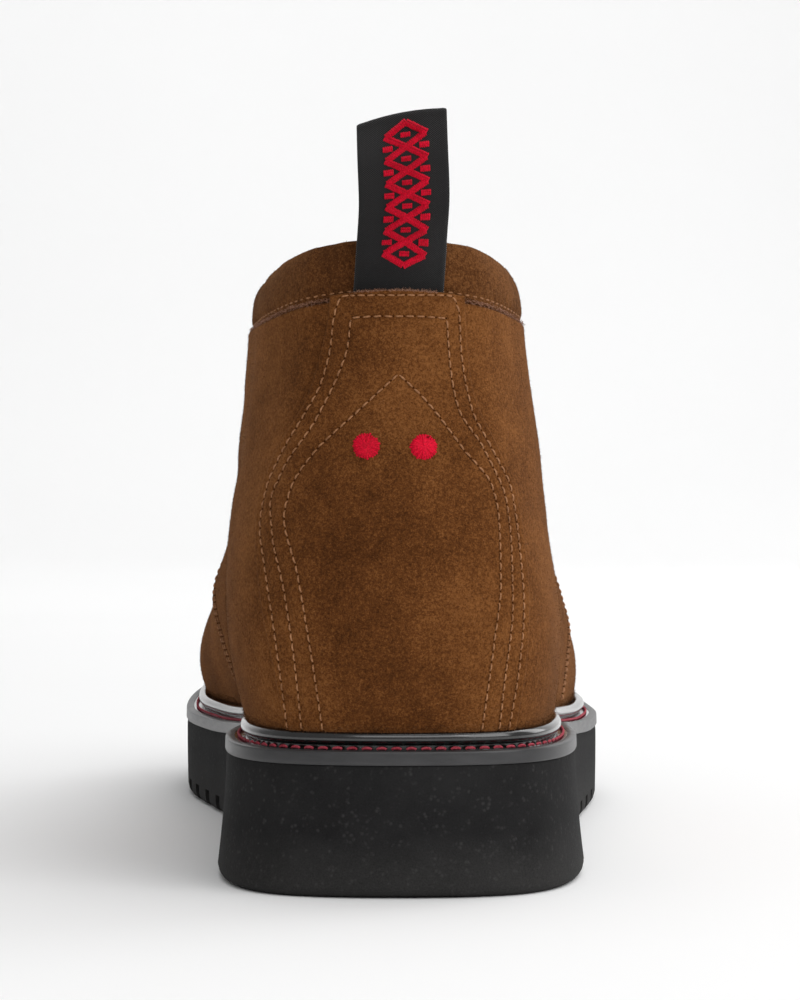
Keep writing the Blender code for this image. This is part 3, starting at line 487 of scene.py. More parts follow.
class Piece:
    """Collects sheets and solids of points, in millimetres, into one mesh."""

    def __init__(self):
        self.points, self.faces, self.count = [], [], 0

    def add(self, points, faces):
        self.points.append(np.asarray(points, float).reshape(-1, 3))
        self.faces.extend((np.asarray(faces) + self.count).tolist())
        self.count += len(self.points[-1])

    def sheet(self, grid, around=False, closed=False, flip=False):
        """A grid of points. around joins each row's ends, closed joins the first and last row."""
        grid = np.asarray(grid, float)
        rows, across = grid.shape[:2]
        index = np.arange(rows * across).reshape(rows, across)
        if around:
            index = np.hstack([index, index[:, :1]])
        if closed:
            index = np.vstack([index, index[:1]])
        quads = np.stack([index[:-1, :-1], index[:-1, 1:], index[1:, 1:], index[1:, :-1]], -1).reshape(-1, 4)
        self.add(grid, quads[:, ::-1] if flip else quads)

    def tube(self, line, radius, sides=6):
        """A round rod along a line of points. radius may change along it or round it."""
        line = np.asarray(line, float)
        run = unit(np.gradient(line, axis=0))
        side = unit(np.cross(run, ODD_WAY))
        radius = np.asarray(radius, float).reshape(len(np.atleast_1d(radius)), -1)
        radius = np.broadcast_to(radius, (len(line), sides))
        ring = spokes(side, np.cross(run, side), sides)
        self.sheet(line[:, None] + ring * radius[..., None], around=True)
        end = self.count - sides
        start = self.count - len(line) * sides
        self.faces.append(list(range(start, start + sides))[::-1])
        self.faces.append(list(range(end, end + sides)))

    def make(self, name, finish, slot, nodes=(), weld=0.004, sharp=40):
        """The finished object. It stands for these nodes of the solid boot."""
        shape = bpy.data.meshes.new(name)
        shape.from_pydata((np.concatenate(self.points) + SHIFT) * MM, [], self.faces)
        ready = bmesh.new()
        ready.from_mesh(shape)
        if weld:
            bmesh.ops.remove_doubles(ready, verts=ready.verts, dist=weld * MM)
            bmesh.ops.dissolve_degenerate(ready, edges=ready.edges, dist=weld * MM / 4)
        bmesh.ops.recalc_face_normals(ready, faces=ready.faces)
        ready.to_mesh(shape)
        ready.free()
        shape.shade_smooth()
        shape.set_sharp_from_angle(angle=math.radians(sharp))
        shape.materials.append(finish)
        made = into_scene(name, shape)
        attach(made, "root")
        if nodes:
            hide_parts(*nodes)
        print(name, len(shape.polygons), "faces")
        return made


# %% [markdown]
# ## Finishes as sums
# A finish is a small calculation: how fine the nap is here, how dark, how rough. Written with node boxes
# it is hard to read, so one class lets shader sockets be used in ordinary sums, and each sum adds its
# own Math nodes.


# %% The shader helper
class Value:
    """A number that changes over a surface."""

    def __init__(self, tree, socket):
        self.tree, self.socket = tree, socket

    def math(self, kind, *others, swap=False):
        node = self.tree.nodes.new("ShaderNodeMath")
        node.operation = kind
        items = [self, *others]
        for slot, item in zip(node.inputs, items[::-1] if swap else items):
            plug(self.tree, slot, item)
        return Value(self.tree, node.outputs[0])

    def __add__(self, other):
        return self.math("ADD", other)

    def __sub__(self, other):
        return self.math("SUBTRACT", other)

    def __rsub__(self, other):
        return self.math("SUBTRACT", other, swap=True)

    def __mul__(self, other):
        return self.math("MULTIPLY", other)

    def clamp(self, low=0.0, high=1.0):
        return self.math("MAXIMUM", low).math("MINIMUM", high)

    __radd__, __rmul__ = __add__, __mul__


def plug(tree, slot, item):
    """Links a value or sets a constant."""
    if isinstance(item, Value):
        tree.links.new(item.socket, slot)
    elif isinstance(item, tuple) and len(item) == 3 and slot.type == "RGBA":
        slot.default_value = (*item, 1.0)
    else:
        slot.default_value = item


class Finish:
    """A material that is being mixed."""

    def __init__(self, name, **constants):
        self.material = bpy.data.materials.new(name)
        self.material.use_nodes = True
        self.tree = self.material.node_tree
        self.shader = self.tree.nodes["Principled BSDF"]
        self.set(**constants)
        self.at = self.node("TexCoord", output="Object")

    def set(self, **values):
        for name, value in values.items():
            plug(self.tree, self.shader.inputs[name.replace("_", " ").title().replace("Ior", "IOR")], value)

    def node(self, kind, output=0, settings=None, inputs=None):
        made = self.tree.nodes.new("ShaderNode" + kind)
        for name, value in (settings or {}).items():
            if name == "stops":
                ramp = made.color_ramp.elements
                ramp[0].position, ramp[0].color = value[0][0], (*value[0][1], 1)
                ramp[1].position, ramp[1].color = value[-1][0], (*value[-1][1], 1)
                for stop, colour in value[1:-1]:
                    ramp.new(stop).color = (*colour, 1)
            else:
                setattr(made, name, value)
        for name, value in (inputs or {}).items():
            plug(self.tree, made.inputs[name], value)
        return Value(self.tree, made.outputs[output])

    def noise(self, millimetres, detail=2.0, roughness=0.5, at=None):
        """Soft noise whose patches are about so many millimetres across, from 0 to 1."""
        inputs = {"Scale": 1000.0 / millimetres, "Detail": detail, "Roughness": roughness}
        return self.node("TexNoise", inputs={"Vector": at or self.at, **inputs})

    def cells(self, millimetres):
        """How far the nearest of many scattered points is, as a share of their spacing."""
        return self.node("TexVoronoi", "Distance", inputs={"Vector": self.at, "Scale": 1000.0 / millimetres})

    def stretched(self, x, y, z):
        return self.node("Mapping", inputs={"Vector": self.at, "Scale": (x, y, z)})

    def ramp(self, value, *stops):
        return self.node("ValToRGB", settings={"stops": stops}, inputs={"Fac": value})

    def mix(self, factor, a, b):
        """A mix of two colours, whose sockets on the Mix node are 6 and 7."""
        return self.node("Mix", 2, {"data_type": "RGBA"}, {0: factor, 6: a, 7: b})

    def bump(self, height, millimetres, strength=1.0, after=None):
        inputs = {"Height": height, "Distance": millimetres * MM, "Strength": strength}
        if after:
            inputs["Normal"] = after
        return self.node("Bump", inputs=inputs)

    def done(self, colour, roughness, normal, **more):
        self.set(base_color=colour, roughness=roughness, normal=normal, **more)
        return self.material


# %% [markdown]
# ## Suede
# Suede is the flesh side of the hide, sanded to a short nap. It has no shine of its own, but its fibres
# catch light at their tips, so it looks paler where the surface turns away. Broad patches are where the
# nap was brushed one way or the other, small ones are the hide's own mottling, and the finest are the
# fibres. Handling presses and darkens the nap here and there.


# %% Suede
def suede(name, dark, middle, pale):
    finish = Finish(name, specular_ior_level=0.04, sheen_weight=0.12, sheen_roughness=0.5)
    finish.set(sheen_tint=(1.0, 0.52, 0.25))
    brushed = finish.noise(24, 3, 0.5, finish.stretched(1.0, 0.9, 0.7))
    mottled = finish.noise(5, 3, 0.6)
    tufts = finish.noise(0.75, 3, 0.7)
    fibres = finish.noise(0.34, 2, 0.75)
    nap = (brushed * 0.75 + mottled * 0.35 + tufts * 0.9 + fibres * 1.0 - 0.99).clamp()
    colour = finish.ramp(nap, (0.2, dark), (0.5, middle), (0.8, pale))
    soft = finish.bump(mottled, 0.16, 0.5)
    fine = finish.bump(tufts + fibres * 0.7, 0.2, 0.9, soft)
    return finish.done(colour, 0.9 + fibres * 0.1, fine)


SUEDE = suede("brown_suede", (0.052, 0.0172, 0.0046), (0.122, 0.0425, 0.0112), (0.225, 0.088, 0.026))
CUFF_SUEDE = suede("cuff_suede", (0.034, 0.0116, 0.0037), (0.083, 0.0295, 0.0088), (0.17, 0.068, 0.022))
# the fibres are real nap, but their paler copy of the suede colours is painted highlight for tips that catch
# the light
NAP_SUEDE = suede("nap_fibres", (0.070, 0.030, 0.0120), (0.145, 0.064, 0.0260), (0.28, 0.140, 0.066))
RAW_FIBRE = suede("raw_fibre", (0.175, 0.077, 0.046), (0.31, 0.158, 0.10), (0.46, 0.27, 0.19))


# %% [markdown]
# ## Lining leather
# The inside is thin vegetable-tanned calf, smooth and tan, with fine pores and a slight satin shine.


# %% Lining
def lining():
    finish = Finish("tan_lining", specular_ior_level=0.4)
    tone = finish.noise(14, 4, 0.6)
    pores = finish.cells(0.7)
    colour = finish.ramp(tone, (0.3, (0.24, 0.125, 0.055)), (0.7, (0.36, 0.205, 0.10)))
    grain = finish.bump(pores + tone * 0.5, 0.06, 0.6)
    return finish.done(colour, 0.45 + tone * 0.2, grain)


LINING = lining()

# %% [markdown]
# ## The black parts of the sole
# The outsole is cut from a sheet of expanded foam. Its skin is matt, with pinholes and pale specks where
# the knife opened a cell. The strip above it is solid rubber, a little paler and smoother, and the welt is
# a polished band that mirrors the room in a soft line.


# %% Foam, rubber strip and welt
def foam():
    finish = Finish("black_foam", specular_ior_level=0.14)
    cloudy = finish.noise(16, 4, 0.6)
    cells = finish.cells(1.1)
    grain = finish.noise(0.35, 2, 0.7)
    speck = finish.ramp(cells, (0.06, (1, 1, 1)), (0.48, (0, 0, 0)))
    some = finish.ramp(finish.noise(2.3, 2, 0.5), (0.50, (0, 0, 0)), (0.62, (1, 1, 1)))
    black, grey = (0.0070, 0.0069, 0.0071), (0.0185, 0.0181, 0.0184)
    base = finish.ramp(cloudy + grain * 0.5, (0.45, black), (0.95, grey))
    specks = speck * some
    height = finish.node("SeparateXYZ", "Z", inputs={0: finish.at})
    dust = (0.75 - height * 70.0 + cloudy * 0.4).clamp(0.0, 0.8) * grain
    dusty = finish.mix(dust, base, (0.052, 0.050, 0.048))
    colour = finish.mix(specks * 0.5, dusty, (0.058, 0.056, 0.055))
    bumps = finish.bump(grain + cells * 0.6, 0.11, 0.7)
    return finish.done(colour, 0.8 + cloudy * 0.18, bumps)


def strip_rubber():
    finish = Finish("grey_strip", specular_ior_level=0.5, coat_roughness=0.22)
    rubbed = finish.noise(9, 3, 0.6, finish.stretched(1, 1, 5))
    grain = finish.noise(0.3, 2, 0.6)
    colour = finish.ramp(rubbed + grain * 0.2, (0.35, (0.016, 0.016, 0.017)), (0.8, (0.030, 0.029, 0.031)))
    polish = 0.1 + rubbed * 0.4
    return finish.done(colour, 0.42 + rubbed * 0.2, finish.bump(grain, 0.05, 0.5), coat_weight=polish)


def welt_gloss():
    finish = Finish("black_welt", specular_ior_level=0.8, coat_roughness=0.1)
    worn = finish.noise(6, 4, 0.6)
    dust = finish.noise(0.5, 3, 0.7)
    colour = finish.ramp(worn, (0.3, (0.0032, 0.0028, 0.0028)), (0.75, (0.0068, 0.0060, 0.0058)))
    rough = 0.10 + worn * 0.12 + dust * 0.06
    rubbed = finish.bump(worn + dust * 0.3, 0.04, 0.5)
    return finish.done(colour, rough, rubbed, coat_weight=0.2 + worn * 0.4)


FOAM, STRIP, WELT_GLOSS = foam(), strip_rubber(), welt_gloss()

# %% [markdown]
# ## Thread, cord, tape and metal
# Sewing thread is two or three plies twisted together, waxed on a boot. Under the hand it is slightly
# shiny, with dark lines between the plies.


# %% Thread, cord, tape and metal
def thread(name, dark, pale):
    finish = Finish(name, specular_ior_level=0.15)
    plies = finish.noise(0.35, 2, 0.6)
    dye = finish.noise(5, 2, 0.5)
    colour = finish.ramp(plies * 0.7 + dye * 0.3, (0.35, dark), (0.65, pale))
    return finish.done(colour, 0.55 + plies * 0.2, finish.bump(plies, 0.05, 0.8))


def woven(name, dark, pale, ribs, foot=0.0):
    """A narrow ribbed weave, both ribs ribs millimetres apart. Below the height foot it gets painted shade,
    darker towards the bottom.
    """
    finish = Finish(name, specular_ior_level=0.25, sheen_weight=0.3, sheen_roughness=0.4)
    x, z = (finish.node("SeparateXYZ", axis, inputs={0: finish.at}) for axis in ("X", "Z"))
    warp = (x * (2000 * math.pi / ribs)).math("SINE")
    weft = (z * (2000 * math.pi / (ribs * 0.8))).math("SINE")
    weave = warp * weft * 0.5 + 0.5
    fluff = finish.noise(0.4, 3, 0.6)
    colour = finish.ramp(weave * 0.6 + fluff * 0.4, (0.25, dark), (0.8, pale))
    # painted shade: the weave turns darker below the height foot, towards the bottom
    painted_shade = ((z * -1000.0 + foot) * 0.12 + fluff * 0.3).clamp(0.0, 0.85)
    colour = finish.mix(painted_shade, colour, (0.0022, 0.0021, 0.0021))
    return finish.done(colour, 0.7 + fluff * 0.2, finish.bump(weave + fluff * 0.4, 0.14, 0.8))


def aged_metal():
    finish = Finish("aged_metal", metallic=1.0)
    tarnish = finish.noise(1.2, 4, 0.65)
    colour = finish.ramp(tarnish, (0.35, (0.045, 0.034, 0.024)), (0.7, (0.17, 0.125, 0.08)))
    return finish.done(colour, 0.28 + tarnish * 0.3, finish.bump(tarnish, 0.03, 0.5))


# painted shade: the needle holes are dark discs whose colour stands for the shade inside each hole
def painted_hole_shade():
    finish = Finish("needle_hole", specular_ior_level=0.0)
    torn = finish.noise(0.3, 2, 0.6)
    colour = finish.ramp(torn, (0.3, (0.032, 0.0106, 0.0033)), (0.7, (0.066, 0.0232, 0.0068)))
    return finish.done(colour, 0.9 + torn * 0.1, finish.bump(torn, 0.05, 0.5))


TAN_THREAD = thread("tan_thread", (0.19, 0.080, 0.030), (0.44, 0.215, 0.100))
RED_THREAD = thread("red_thread", (0.38, 0.0012, 0.012), (0.80, 0.0035, 0.036))
WELT_THREAD = thread("welt_thread", (0.22, 0.014, 0.026), (0.50, 0.075, 0.105))
HOLE_SHADE = painted_hole_shade()
CORD = woven("brown_cord", (0.020, 0.010, 0.0055), (0.066, 0.035, 0.020), 0.6)
# the pull tape gets painted shade below 133 mm, at its foot by the collar
TAPE_WEAVE = woven("black_tape", (0.0045, 0.0042, 0.0043), (0.0168, 0.0155, 0.0159), 0.55, 133.0)
METAL = aged_metal()
print("finishes:", len(bpy.data.materials))

# %% [markdown]
# ## The sole
# The sole is a stack of slabs with one plan, each cut a little differently at its edge. Cross-sections
# from heel to toe make a closed slab. A level of a slab is two functions of the place along the boot: how
# far it lies inside the edge, and how high.


# %% Slabs and their levels
SOLE_SHARP = 35  # degrees: where two faces turn by more than this, the edge between them stays crisp
TREAD_EDGE = 2.4  # how far up the rounded edge of the tread reaches


def stations(count):
    share = np.linspace(0, 1, count)
    return HALF_WAY * (share - 0.05 * np.sin(4 * np.pi * share) / 2)


def slab(levels, name, finish, slot, nodes, count=150):
    """A solid of the boot's plan. levels lists (inset, height) functions of the place along the boot."""
    piece = Piece()
    w = stations(count)
    section = []
    for side, order in ((w, levels), (AROUND - w, levels[::-1])):
        _, along, _, _ = edge(side)
        for inset, height in order:
            x, y, _, _ = edge(side, inset(along))
            section.append(np.stack([x, y, height(y)], -1))
    piece.sheet(np.stack(section, 1), around=True)
    return piece.make(name, finish, slot, nodes, sharp=SOLE_SHARP)


def flat(value):
    return lambda along: value + 0 * along


def above_sole(height):
    return lambda along: sole_top(along) + height


def flare(more):
    return lambda along: more - profile(FLARE_PROFILE, "flare", along)


def tread(more):
    return lambda along: profile(TREAD_PROFILE, "under", along) + more


def between(share):
    """A level on the outsole's side, by its share of the way up."""

    def height(along):
        return (1 - share) * tread(TREAD_EDGE)(along) + share * sole_top(along)

    return (lambda along: (1 - share) ** 1.6 * flare(0.0)(along) + 0.25 * share), height


def layers(*corners):
    """Levels that follow the sole's top, from corners of (inset, height above it)."""
    return [(flat(inset), above_sole(height)) for inset, height in corners]


print("outline at the heel's back:", [round(float(v), 1) for v in edge(0.0)[:2]])

# %% [markdown]
# The levels are stacked from the ground up. The outsole's wall flares at the heel and draws in under the
# forepart. Its lugs are what is left when bars are cut away, as a mould's ribs leave gaps in the foam.


# %% The outsole, its strip and the footbed
def lug_gaps():
    """Bars for the gaps between the lugs, as one cutter."""
    overhang = 4.0
    bars = bmesh.new()
    half = np.linspace(0, HALF_WAY, 400)
    for region, rows in LUG_ROWS.items():
        length = LUG_REACH[region] + overhang
        for number in range(rows):
            along = LUG_START[region] + LUG_PITCH * number
            nearest = half[np.argmin(np.abs(EDGE_Y(half) - along))]
            for side in (nearest, AROUND - nearest):
                x, y, out_x, out_y = edge(side, length / 2 - overhang)
                bottom = float(tread(-overhang)(y))
                deep = LUG_DEPTH + overhang
                turn = Matrix.Rotation(math.atan2(out_y, out_x), 4, "Z")
                size = Matrix.Diagonal((length, LUG_GAP, deep, 1))
                spot = Matrix.Translation((x + SHIFT[0], y + SHIFT[1], bottom + deep / 2))
                bmesh.ops.create_cube(bars, size=1.0, matrix=spot @ turn @ size)
    bmesh.ops.scale(bars, vec=(MM, MM, MM), verts=bars.verts)
    mesh = bpy.data.meshes.new("lug_gaps")
    bars.to_mesh(mesh)
    bars.free()
    return into_scene("lug_gaps", mesh)


def outsole():
    foot = ((2.6, 0.0), (1.5, 0.15), (0.75, 0.6), (0.25, 1.3), (0.0, TREAD_EDGE))
    levels = [
        *[(flare(more), tread(height)) for more, height in foot],
        *[between(share) for share in np.linspace(0.12, 0.96, 9)],
        *layers((0.35, 0.6), (0.45, 0.95), (0.9, 1.0)),
    ]
    made = slab(levels, "outsole_foam", FOAM, "outsole_foam", ["outsole"], count=220)
    cutter = lug_gaps()
    cut = made.modifiers.new("lugs", "BOOLEAN")
    cut.operation, cut.object = "DIFFERENCE", cutter
    ready = bpy.data.meshes.new_from_object(made.evaluated_get(bpy.context.evaluated_depsgraph_get()))
    made.modifiers.remove(cut)
    made.data = ready
    ready.set_sharp_from_angle(angle=math.radians(SOLE_SHARP))
    bpy.data.objects.remove(cutter)


def midsole_strip():
    top = GAP + MIDSOLE
    levels = layers((0.5, 1.0), (0.1, 1.1), (-0.05, 1.4), (-0.05, GAP + MIDSOLE / 2), (0.0, top), (0.8, top))
    slab(levels, "midsole_strip", STRIP, "midsole_rubber", ["midsole"])


def footbed():
    inset, top = FEATHER_INSET + WALL + 2 * GAP, FEATHER_BASE + INSOLE
    levels = layers(
        (inset + 0.5, FEATHER_BASE),
        (inset, FEATHER_BASE + 0.8),
        (inset, top - 0.8),
        (inset + 0.3, top - 0.3),
        (inset + 0.9, top),
        (inset + 2.6, top - 0.15),
        (inset + 3.4, top),
    )
    slab(levels, "footbed", LINING, "lining", ["insole"])


outsole()
midsole_strip()
footbed()

# %% [markdown]
# ## Stitches
# A machine stitch is a short loop of thread that dives into the leather at both ends. Each is a small
# rod, bowed up in its middle, and a dark disc of painted shade marks the needle hole where the next one
# starts. The same function sews every seam: it walks along a line at an even pitch.


# %% Stitches along a line
STITCH_SHARES = np.array([-0.5, -0.42, -0.25, 0.0, 0.25, 0.42, 0.5])[:, None]
THREAD = 0.2  # a usual thread's radius: a thicker one arches more
HOLE_DEEP, HOLE_RADII = 0.3, [0.24, 0.18]
GROOVE_DEPTH, GROOVE_WIDTH = 0.22, 0.75


def walk(line, pitch):
    """Even steps along a line of points: the middles and the ways of the stitches."""
    length = distances(line)
    count = max(int(length[-1] / pitch), 1)
    at = (np.arange(count) + 0.5) * length[-1] / count
    spots, before, after = (points_at(at + step, length, line) for step in (0, -0.3, 0.3))
    return spots, unit(after - before)


def sew(threads, holes, line, up, pitch=2.1, length=1.4, radius=0.19, dive=1.35, seed=1):
    """Adds the stitches of one seam. up is the outward way at each point, dive how deep their ends go."""
    draw = random.Random(seed)
    spots, ways = walk(line, pitch)
    nearest = [np.argmin(np.linalg.norm(line - spot, axis=1)) for spot in spots]
    share = STITCH_SHARES
    taper = 1.1 - 1.2 * share[:, 0] ** 2
    for spot, way, normal in zip(spots, ways, np.asarray(up)[nearest]):
        wobble = np.cross(way, normal) * draw.uniform(-0.07, 0.07)
        arch = normal * (0.16 - dive * (2 * share) ** 4 / 4) * radius / THREAD
        threads.tube(spot + way * share * length + arch + wobble * share * 2, radius * taper)
        if holes is not None:
            # a dark disc of painted shade marks each needle hole
            foot = spot + way * pitch / 2
            holes.tube([foot - normal * HOLE_DEEP, foot + normal * 0.02], HOLE_RADII)


def groove(points, seams):
    """How far the pull of the thread sinks the leather beside each seam."""
    sewn = np.concatenate(seams)
    tree = KDTree(len(sewn))
    for number, spot in enumerate(sewn):
        tree.insert(spot, number)
    tree.balance()
    far = np.array([tree.find(spot)[2] for spot in points.reshape(-1, 3)]).reshape(points.shape[:-1])
    return -GROOVE_DEPTH * np.exp(-((far / GROOVE_WIDTH) ** 2))


# %% [markdown]
# ## The vamp and the lining
# The vamp is one hide pulled over the whole last, with a leather lining behind it. It is the ground that
# the other panels lie on. Two sheets, one at the form and one a wall's thickness inside it, are closed
# along the feather line and the top edge.


# %% The vamp and the lining
def eyelet_seats():
    """The place and outward direction of each eyelet, on the surface of the quarters."""
    seats = {}
    facing_top = place(ROW["facing_top"])
    for number in range(EYELETS):
        reach = facing_top + (THROAT - facing_top) * (EYELET_FIRST + EYELET_PITCH * number)
        for side, name in ((1, "lateral"), (-1, "medial")):
            w = reach if side > 0 else AROUND - reach
            foot, tip = (upper_surface(w, EYELET_CLIMB, h) for h in (GAP + QUARTER, GAP + QUARTER + 1))
            seats[name, number] = (foot, tip - foot)
    return seats


def full_circle(count):
    """Places all round, the same on both sides, closer together at heel and toe, one at the throat."""
    half = stations(count)
    half[np.argmin(np.abs(half - THROAT))] = THROAT
    return np.concatenate([half, AROUND - half[-2:0:-1]])


def wall(name, outer, inner, finish, slot, nodes, count, rows):
    piece = Piece()
    w, t = full_circle(count)[None, :], np.linspace(0, 1, rows)[:, None]
    sheets = [skin(w, t, offset) for offset in (outer, inner)]
    piece.sheet(sheets[0], around=True)
    piece.sheet(sheets[1], around=True, flip=True)
    piece.sheet([sheets[0][0], sheets[1][0]], around=True, flip=True)
    medial_top, lateral_top = w[0] >= AROUND - THROAT - 0.01, w[0] <= THROAT + 0.01
    open_top = np.concatenate([np.nonzero(side)[0] for side in (medial_top, lateral_top)])
    piece.sheet([sheets[0][-1][open_top], sheets[1][-1][open_top]])
    piece.make(name, finish, slot, nodes, weld=0.01)


wall("vamp_suede", 0.0, -WALL + 0.7, SUEDE, "suede", ["upper"], 170, 56)
wall("upper_lining", -WALL + 0.68, -WALL, LINING, "lining", ["upper"], 110, 30)

# %% [markdown]
# ## Panels that are laid on
# The quarters and the backstay are cut from the same hide and sewn on with their raw edges showing. A
# panel is a sheet between two edge lines on the form. Its own edge drops down steeply, rounded at the
# top by the knife and by wear, so the lines of its grid crowd together there.


# %% A panel with a cut edge
EDGE_STEPS = np.array([0.0, 0.06, 0.16, 0.32, 0.55, 0.9])
CUT_EDGE_RADIUS = 0.55
LIFT_CLIMB, LIFT_OUT, LIFT_UP = 0.03, 1.6, 1.4


def lines(length, pitch):
    """Shares of a length, from 0 to 1, that crowd together at both ends."""
    middle = np.linspace(1.4, length - 1.4, max(int(length / pitch), 2))
    return np.concatenate([EDGE_STEPS, middle, length - EDGE_STEPS[::-1]]) / length


def cut_edge(far, thickness):
    """The height of a panel's face at a distance from its cut edge."""
    height = 0.5 + 0.5 * round_over(far / CUT_EDGE_RADIUS)
    return thickness * height * np.clip(far / 0.05, 0, 1)


def run_along(w, t):
    """Millimetres for each step of w and for each step of t."""
    each_w = np.linalg.norm(raw_surface(w + 0.5, t) - raw_surface(w - 0.5, t), axis=-1)
    low, high = np.clip(t - 0.01, 0, 1), np.clip(t + 0.01, 0, 1)
    each_t = np.linalg.norm(raw_surface(w, high) - raw_surface(w, low), axis=-1) / (high - low)
    return each_w, each_t


def over_tape(points, normal, t, top):
    """Lifts the last 3 mm below a panel's top edge, most where the pull tape lies under it."""
    near_top = np.clip((t - top + LIFT_CLIMB) / LIFT_CLIMB, 0, 1) ** 2
    at_tape = np.clip((TAPE_WIDTH / 2 + 1.8 - np.abs(points[..., 0] - TAPE_MIDDLE)) / 2.2, 0, 1)
    lifted = points + normal * (LIFT_OUT * near_top * at_tape**0.7)[..., None]
    return lifted + (LIFT_UP * near_top)[..., None] * [0, 0, 1]


class Panel:
    """A sheet of leather between two edge lines. w_low and w_high give its sides at each climb t."""

    def __init__(self, w_low, w_high, t_low, t_high, thickness, base, pitch):
        self.thickness, self.base = thickness, base
        self.low, self.high, self.t_range = w_low, w_high, (t_low, t_high)
        middle_t = (t_low + t_high) / 2
        width = float(w_high(np.array([middle_t]))[0] - w_low(np.array([middle_t]))[0])
        self.u = lines(width, pitch)
        self.t = t_low + (t_high - t_low) * lines((t_high - t_low) * CLIMB_LENGTH, pitch)

    def place(self, u, t):
        """(w, t) for shares u across the panel and climbs t."""
        return self.low(t) + (self.high(t) - self.low(t)) * u

    def inset(self, side, distance, t):
        """w at so many millimetres inside the low (-1) or high (1) side."""
        w = self.high(t) if side > 0 else self.low(t)
        each_w, _ = run_along(w, t)
        return w - side * distance / each_w

    def grid(self):
        u, t = np.meshgrid(self.u, self.t)
        w = self.place(u, t)
        each_w, each_t = run_along(w, t)
        low, high = self.low(t), self.high(t)
        side = np.minimum(w - low, high - w) * each_w
        end = np.minimum(t - self.t_range[0], self.t_range[1] - t) * each_t
        return w, t, np.minimum(side, end)

    def build(self, name, finish, slot, nodes, seams, lift=None):
        w, t, far = self.grid()
        face = skin(w, t, self.base + cut_edge(far, self.thickness))
        normal = outward(w, t)
        if seams:
            face = face + normal * (groove(face, seams) * np.clip(far / 0.6, 0, 1))[..., None]
        if lift:
            face = lift(face, normal, t, self.t_range[1])
        under = skin(w, t, self.base - 0.02)
        piece = Piece()
        piece.sheet(face)
        piece.sheet(under, flip=True)
        for pick in (np.s_[0], np.s_[-1]):
            piece.sheet([face[pick], under[pick]], flip=pick == 0)
            piece.sheet([face[:, pick], under[:, pick]], flip=pick != 0)
        piece.make(name, finish, slot, nodes, weld=0.012, sharp=50)


# %% [markdown]
# The edges of the panels are known from the side or from behind, not round the last. So each edge is
# found by walking along the form at many heights, until the place lies beyond the line that was drawn.


# %% Where the panels' edges run
def cross(low, high, test, t):
    """The first w between low and high at which test(points) turns positive, at each climb t."""
    w = np.linspace(low, high, 260)
    values = test(upper_surface(w[None, :], t[:, None], GAP + QUARTER))
    found = np.argmax(values > 0, axis=1)
    found = np.where((values > 0).any(axis=1), np.maximum(found, 1), len(w) - 1)
    rows = np.arange(len(t))
    before, after = values[rows, found - 1], values[rows, found]
    share = np.clip(-before / np.where(np.abs(after - before) < 1e-9, 1, after - before), 0, 1)
    return w[found - 1] + (w[found] - w[found - 1]) * share


def line_of(low, high, test):
    """The same as a smooth function of the climb."""
    t = np.linspace(0, 1, 90)
    found = cross(low, high, test, t)
    return lambda at: np.interp(at, t, found)


def backstay_edge(side, sign):
    """The backstay's edge on one side, where sign is 1 for the lateral and -1 for the medial side."""

    def test(points):
        return sign * (points[..., 0] - profile(BACKSTAY_SHAPE, side, points[..., 2], "height"))

    return line_of(sign * 1.0, sign * 90.0, test)


BACK_LATERAL, BACK_MEDIAL = backstay_edge("lateral", 1), backstay_edge("medial", -1)
print("backstay at half height, round the heel:", BACK_MEDIAL(0.5), BACK_LATERAL(0.5))


def front_test(points):
    return points[..., 1] - profile(QUARTER_FRONT, "along", points[..., 2], "height")


def rounded_front(at):
    """The quarter's front edge, which turns in a soft bow into the throat."""
    straight = FRONT_LINE(at)
    soft = 5.0
    gap = (THROAT + 0.4 - straight) / soft
    return straight + soft * np.where(gap < 1, -((1 - np.clip(gap, -1, 1)) ** 2) / 4, 0)


FRONT_LINE = line_of(100.0, THROAT, front_test)

# %% [markdown]
# The quarters reach from under the backstay to the facing with the eyelets. Two rows of stitches follow
# the front edge and one follows the facing.


# %% The quarters
def seams_on(rows, out):
    """The line of each seam, out millimetres above the form, and the outward ways along it."""
    return [skin(w, t, out) for w, t in rows], [outward(w, t) for w, t in rows]


def quarter(side):
    sign, back = (1, BACK_LATERAL) if side == "lateral" else (-1, BACK_MEDIAL)

    def low(t):
        return sign * back(t) - QUARTER_TUCK

    panel = Panel(low, rounded_front, SKIRT, LAID_TOP, QUARTER, GAP, pitch=1.0)
    t = np.linspace(0.045, 0.955, 160)
    rows = [(panel.inset(1, far, t), t) for far in (BESIDE_SEAM, BESIDE_SEAM + BETWEEN_SEAMS)]
    facing = np.linspace(place(5.0) + 3, THROAT - 3.5, 70)
    _, each_t = run_along(facing, np.full_like(facing, LAID_TOP))
    rows.append((facing, LAID_TOP - BESIDE_FACING / each_t))
    if sign < 0:
        # the medial quarter is the same panel on the other side of the last
        panel.low, panel.high = (lambda t: AROUND - rounded_front(t)), (lambda t: AROUND - low(t))
        rows = [(AROUND - w, climb) for w, climb in rows]
    seams, ways = seams_on(rows, GAP + QUARTER)
    panel.build(f"quarter_{side}_suede", SUEDE, "suede", [f"quarter_{side}"], seams)
    return seams, ways


threads, holes = Piece(), Piece()
for number, side in enumerate(("lateral", "medial")):
    for row, (line, way) in enumerate(zip(*quarter(side))):
        sew(threads, holes, line, way, seed=10 * number + row)


# %% [markdown]
# The backstay covers the seam at the heel, from a narrow top under the collar to the wide counter below.
# Its rows of stitches are given as they are seen from behind, and laid on the form by searching for the
# place that shows there. Two rows follow its edge and a third comes to a point between them. All three
# run down to the welt, because they also hold the counter.


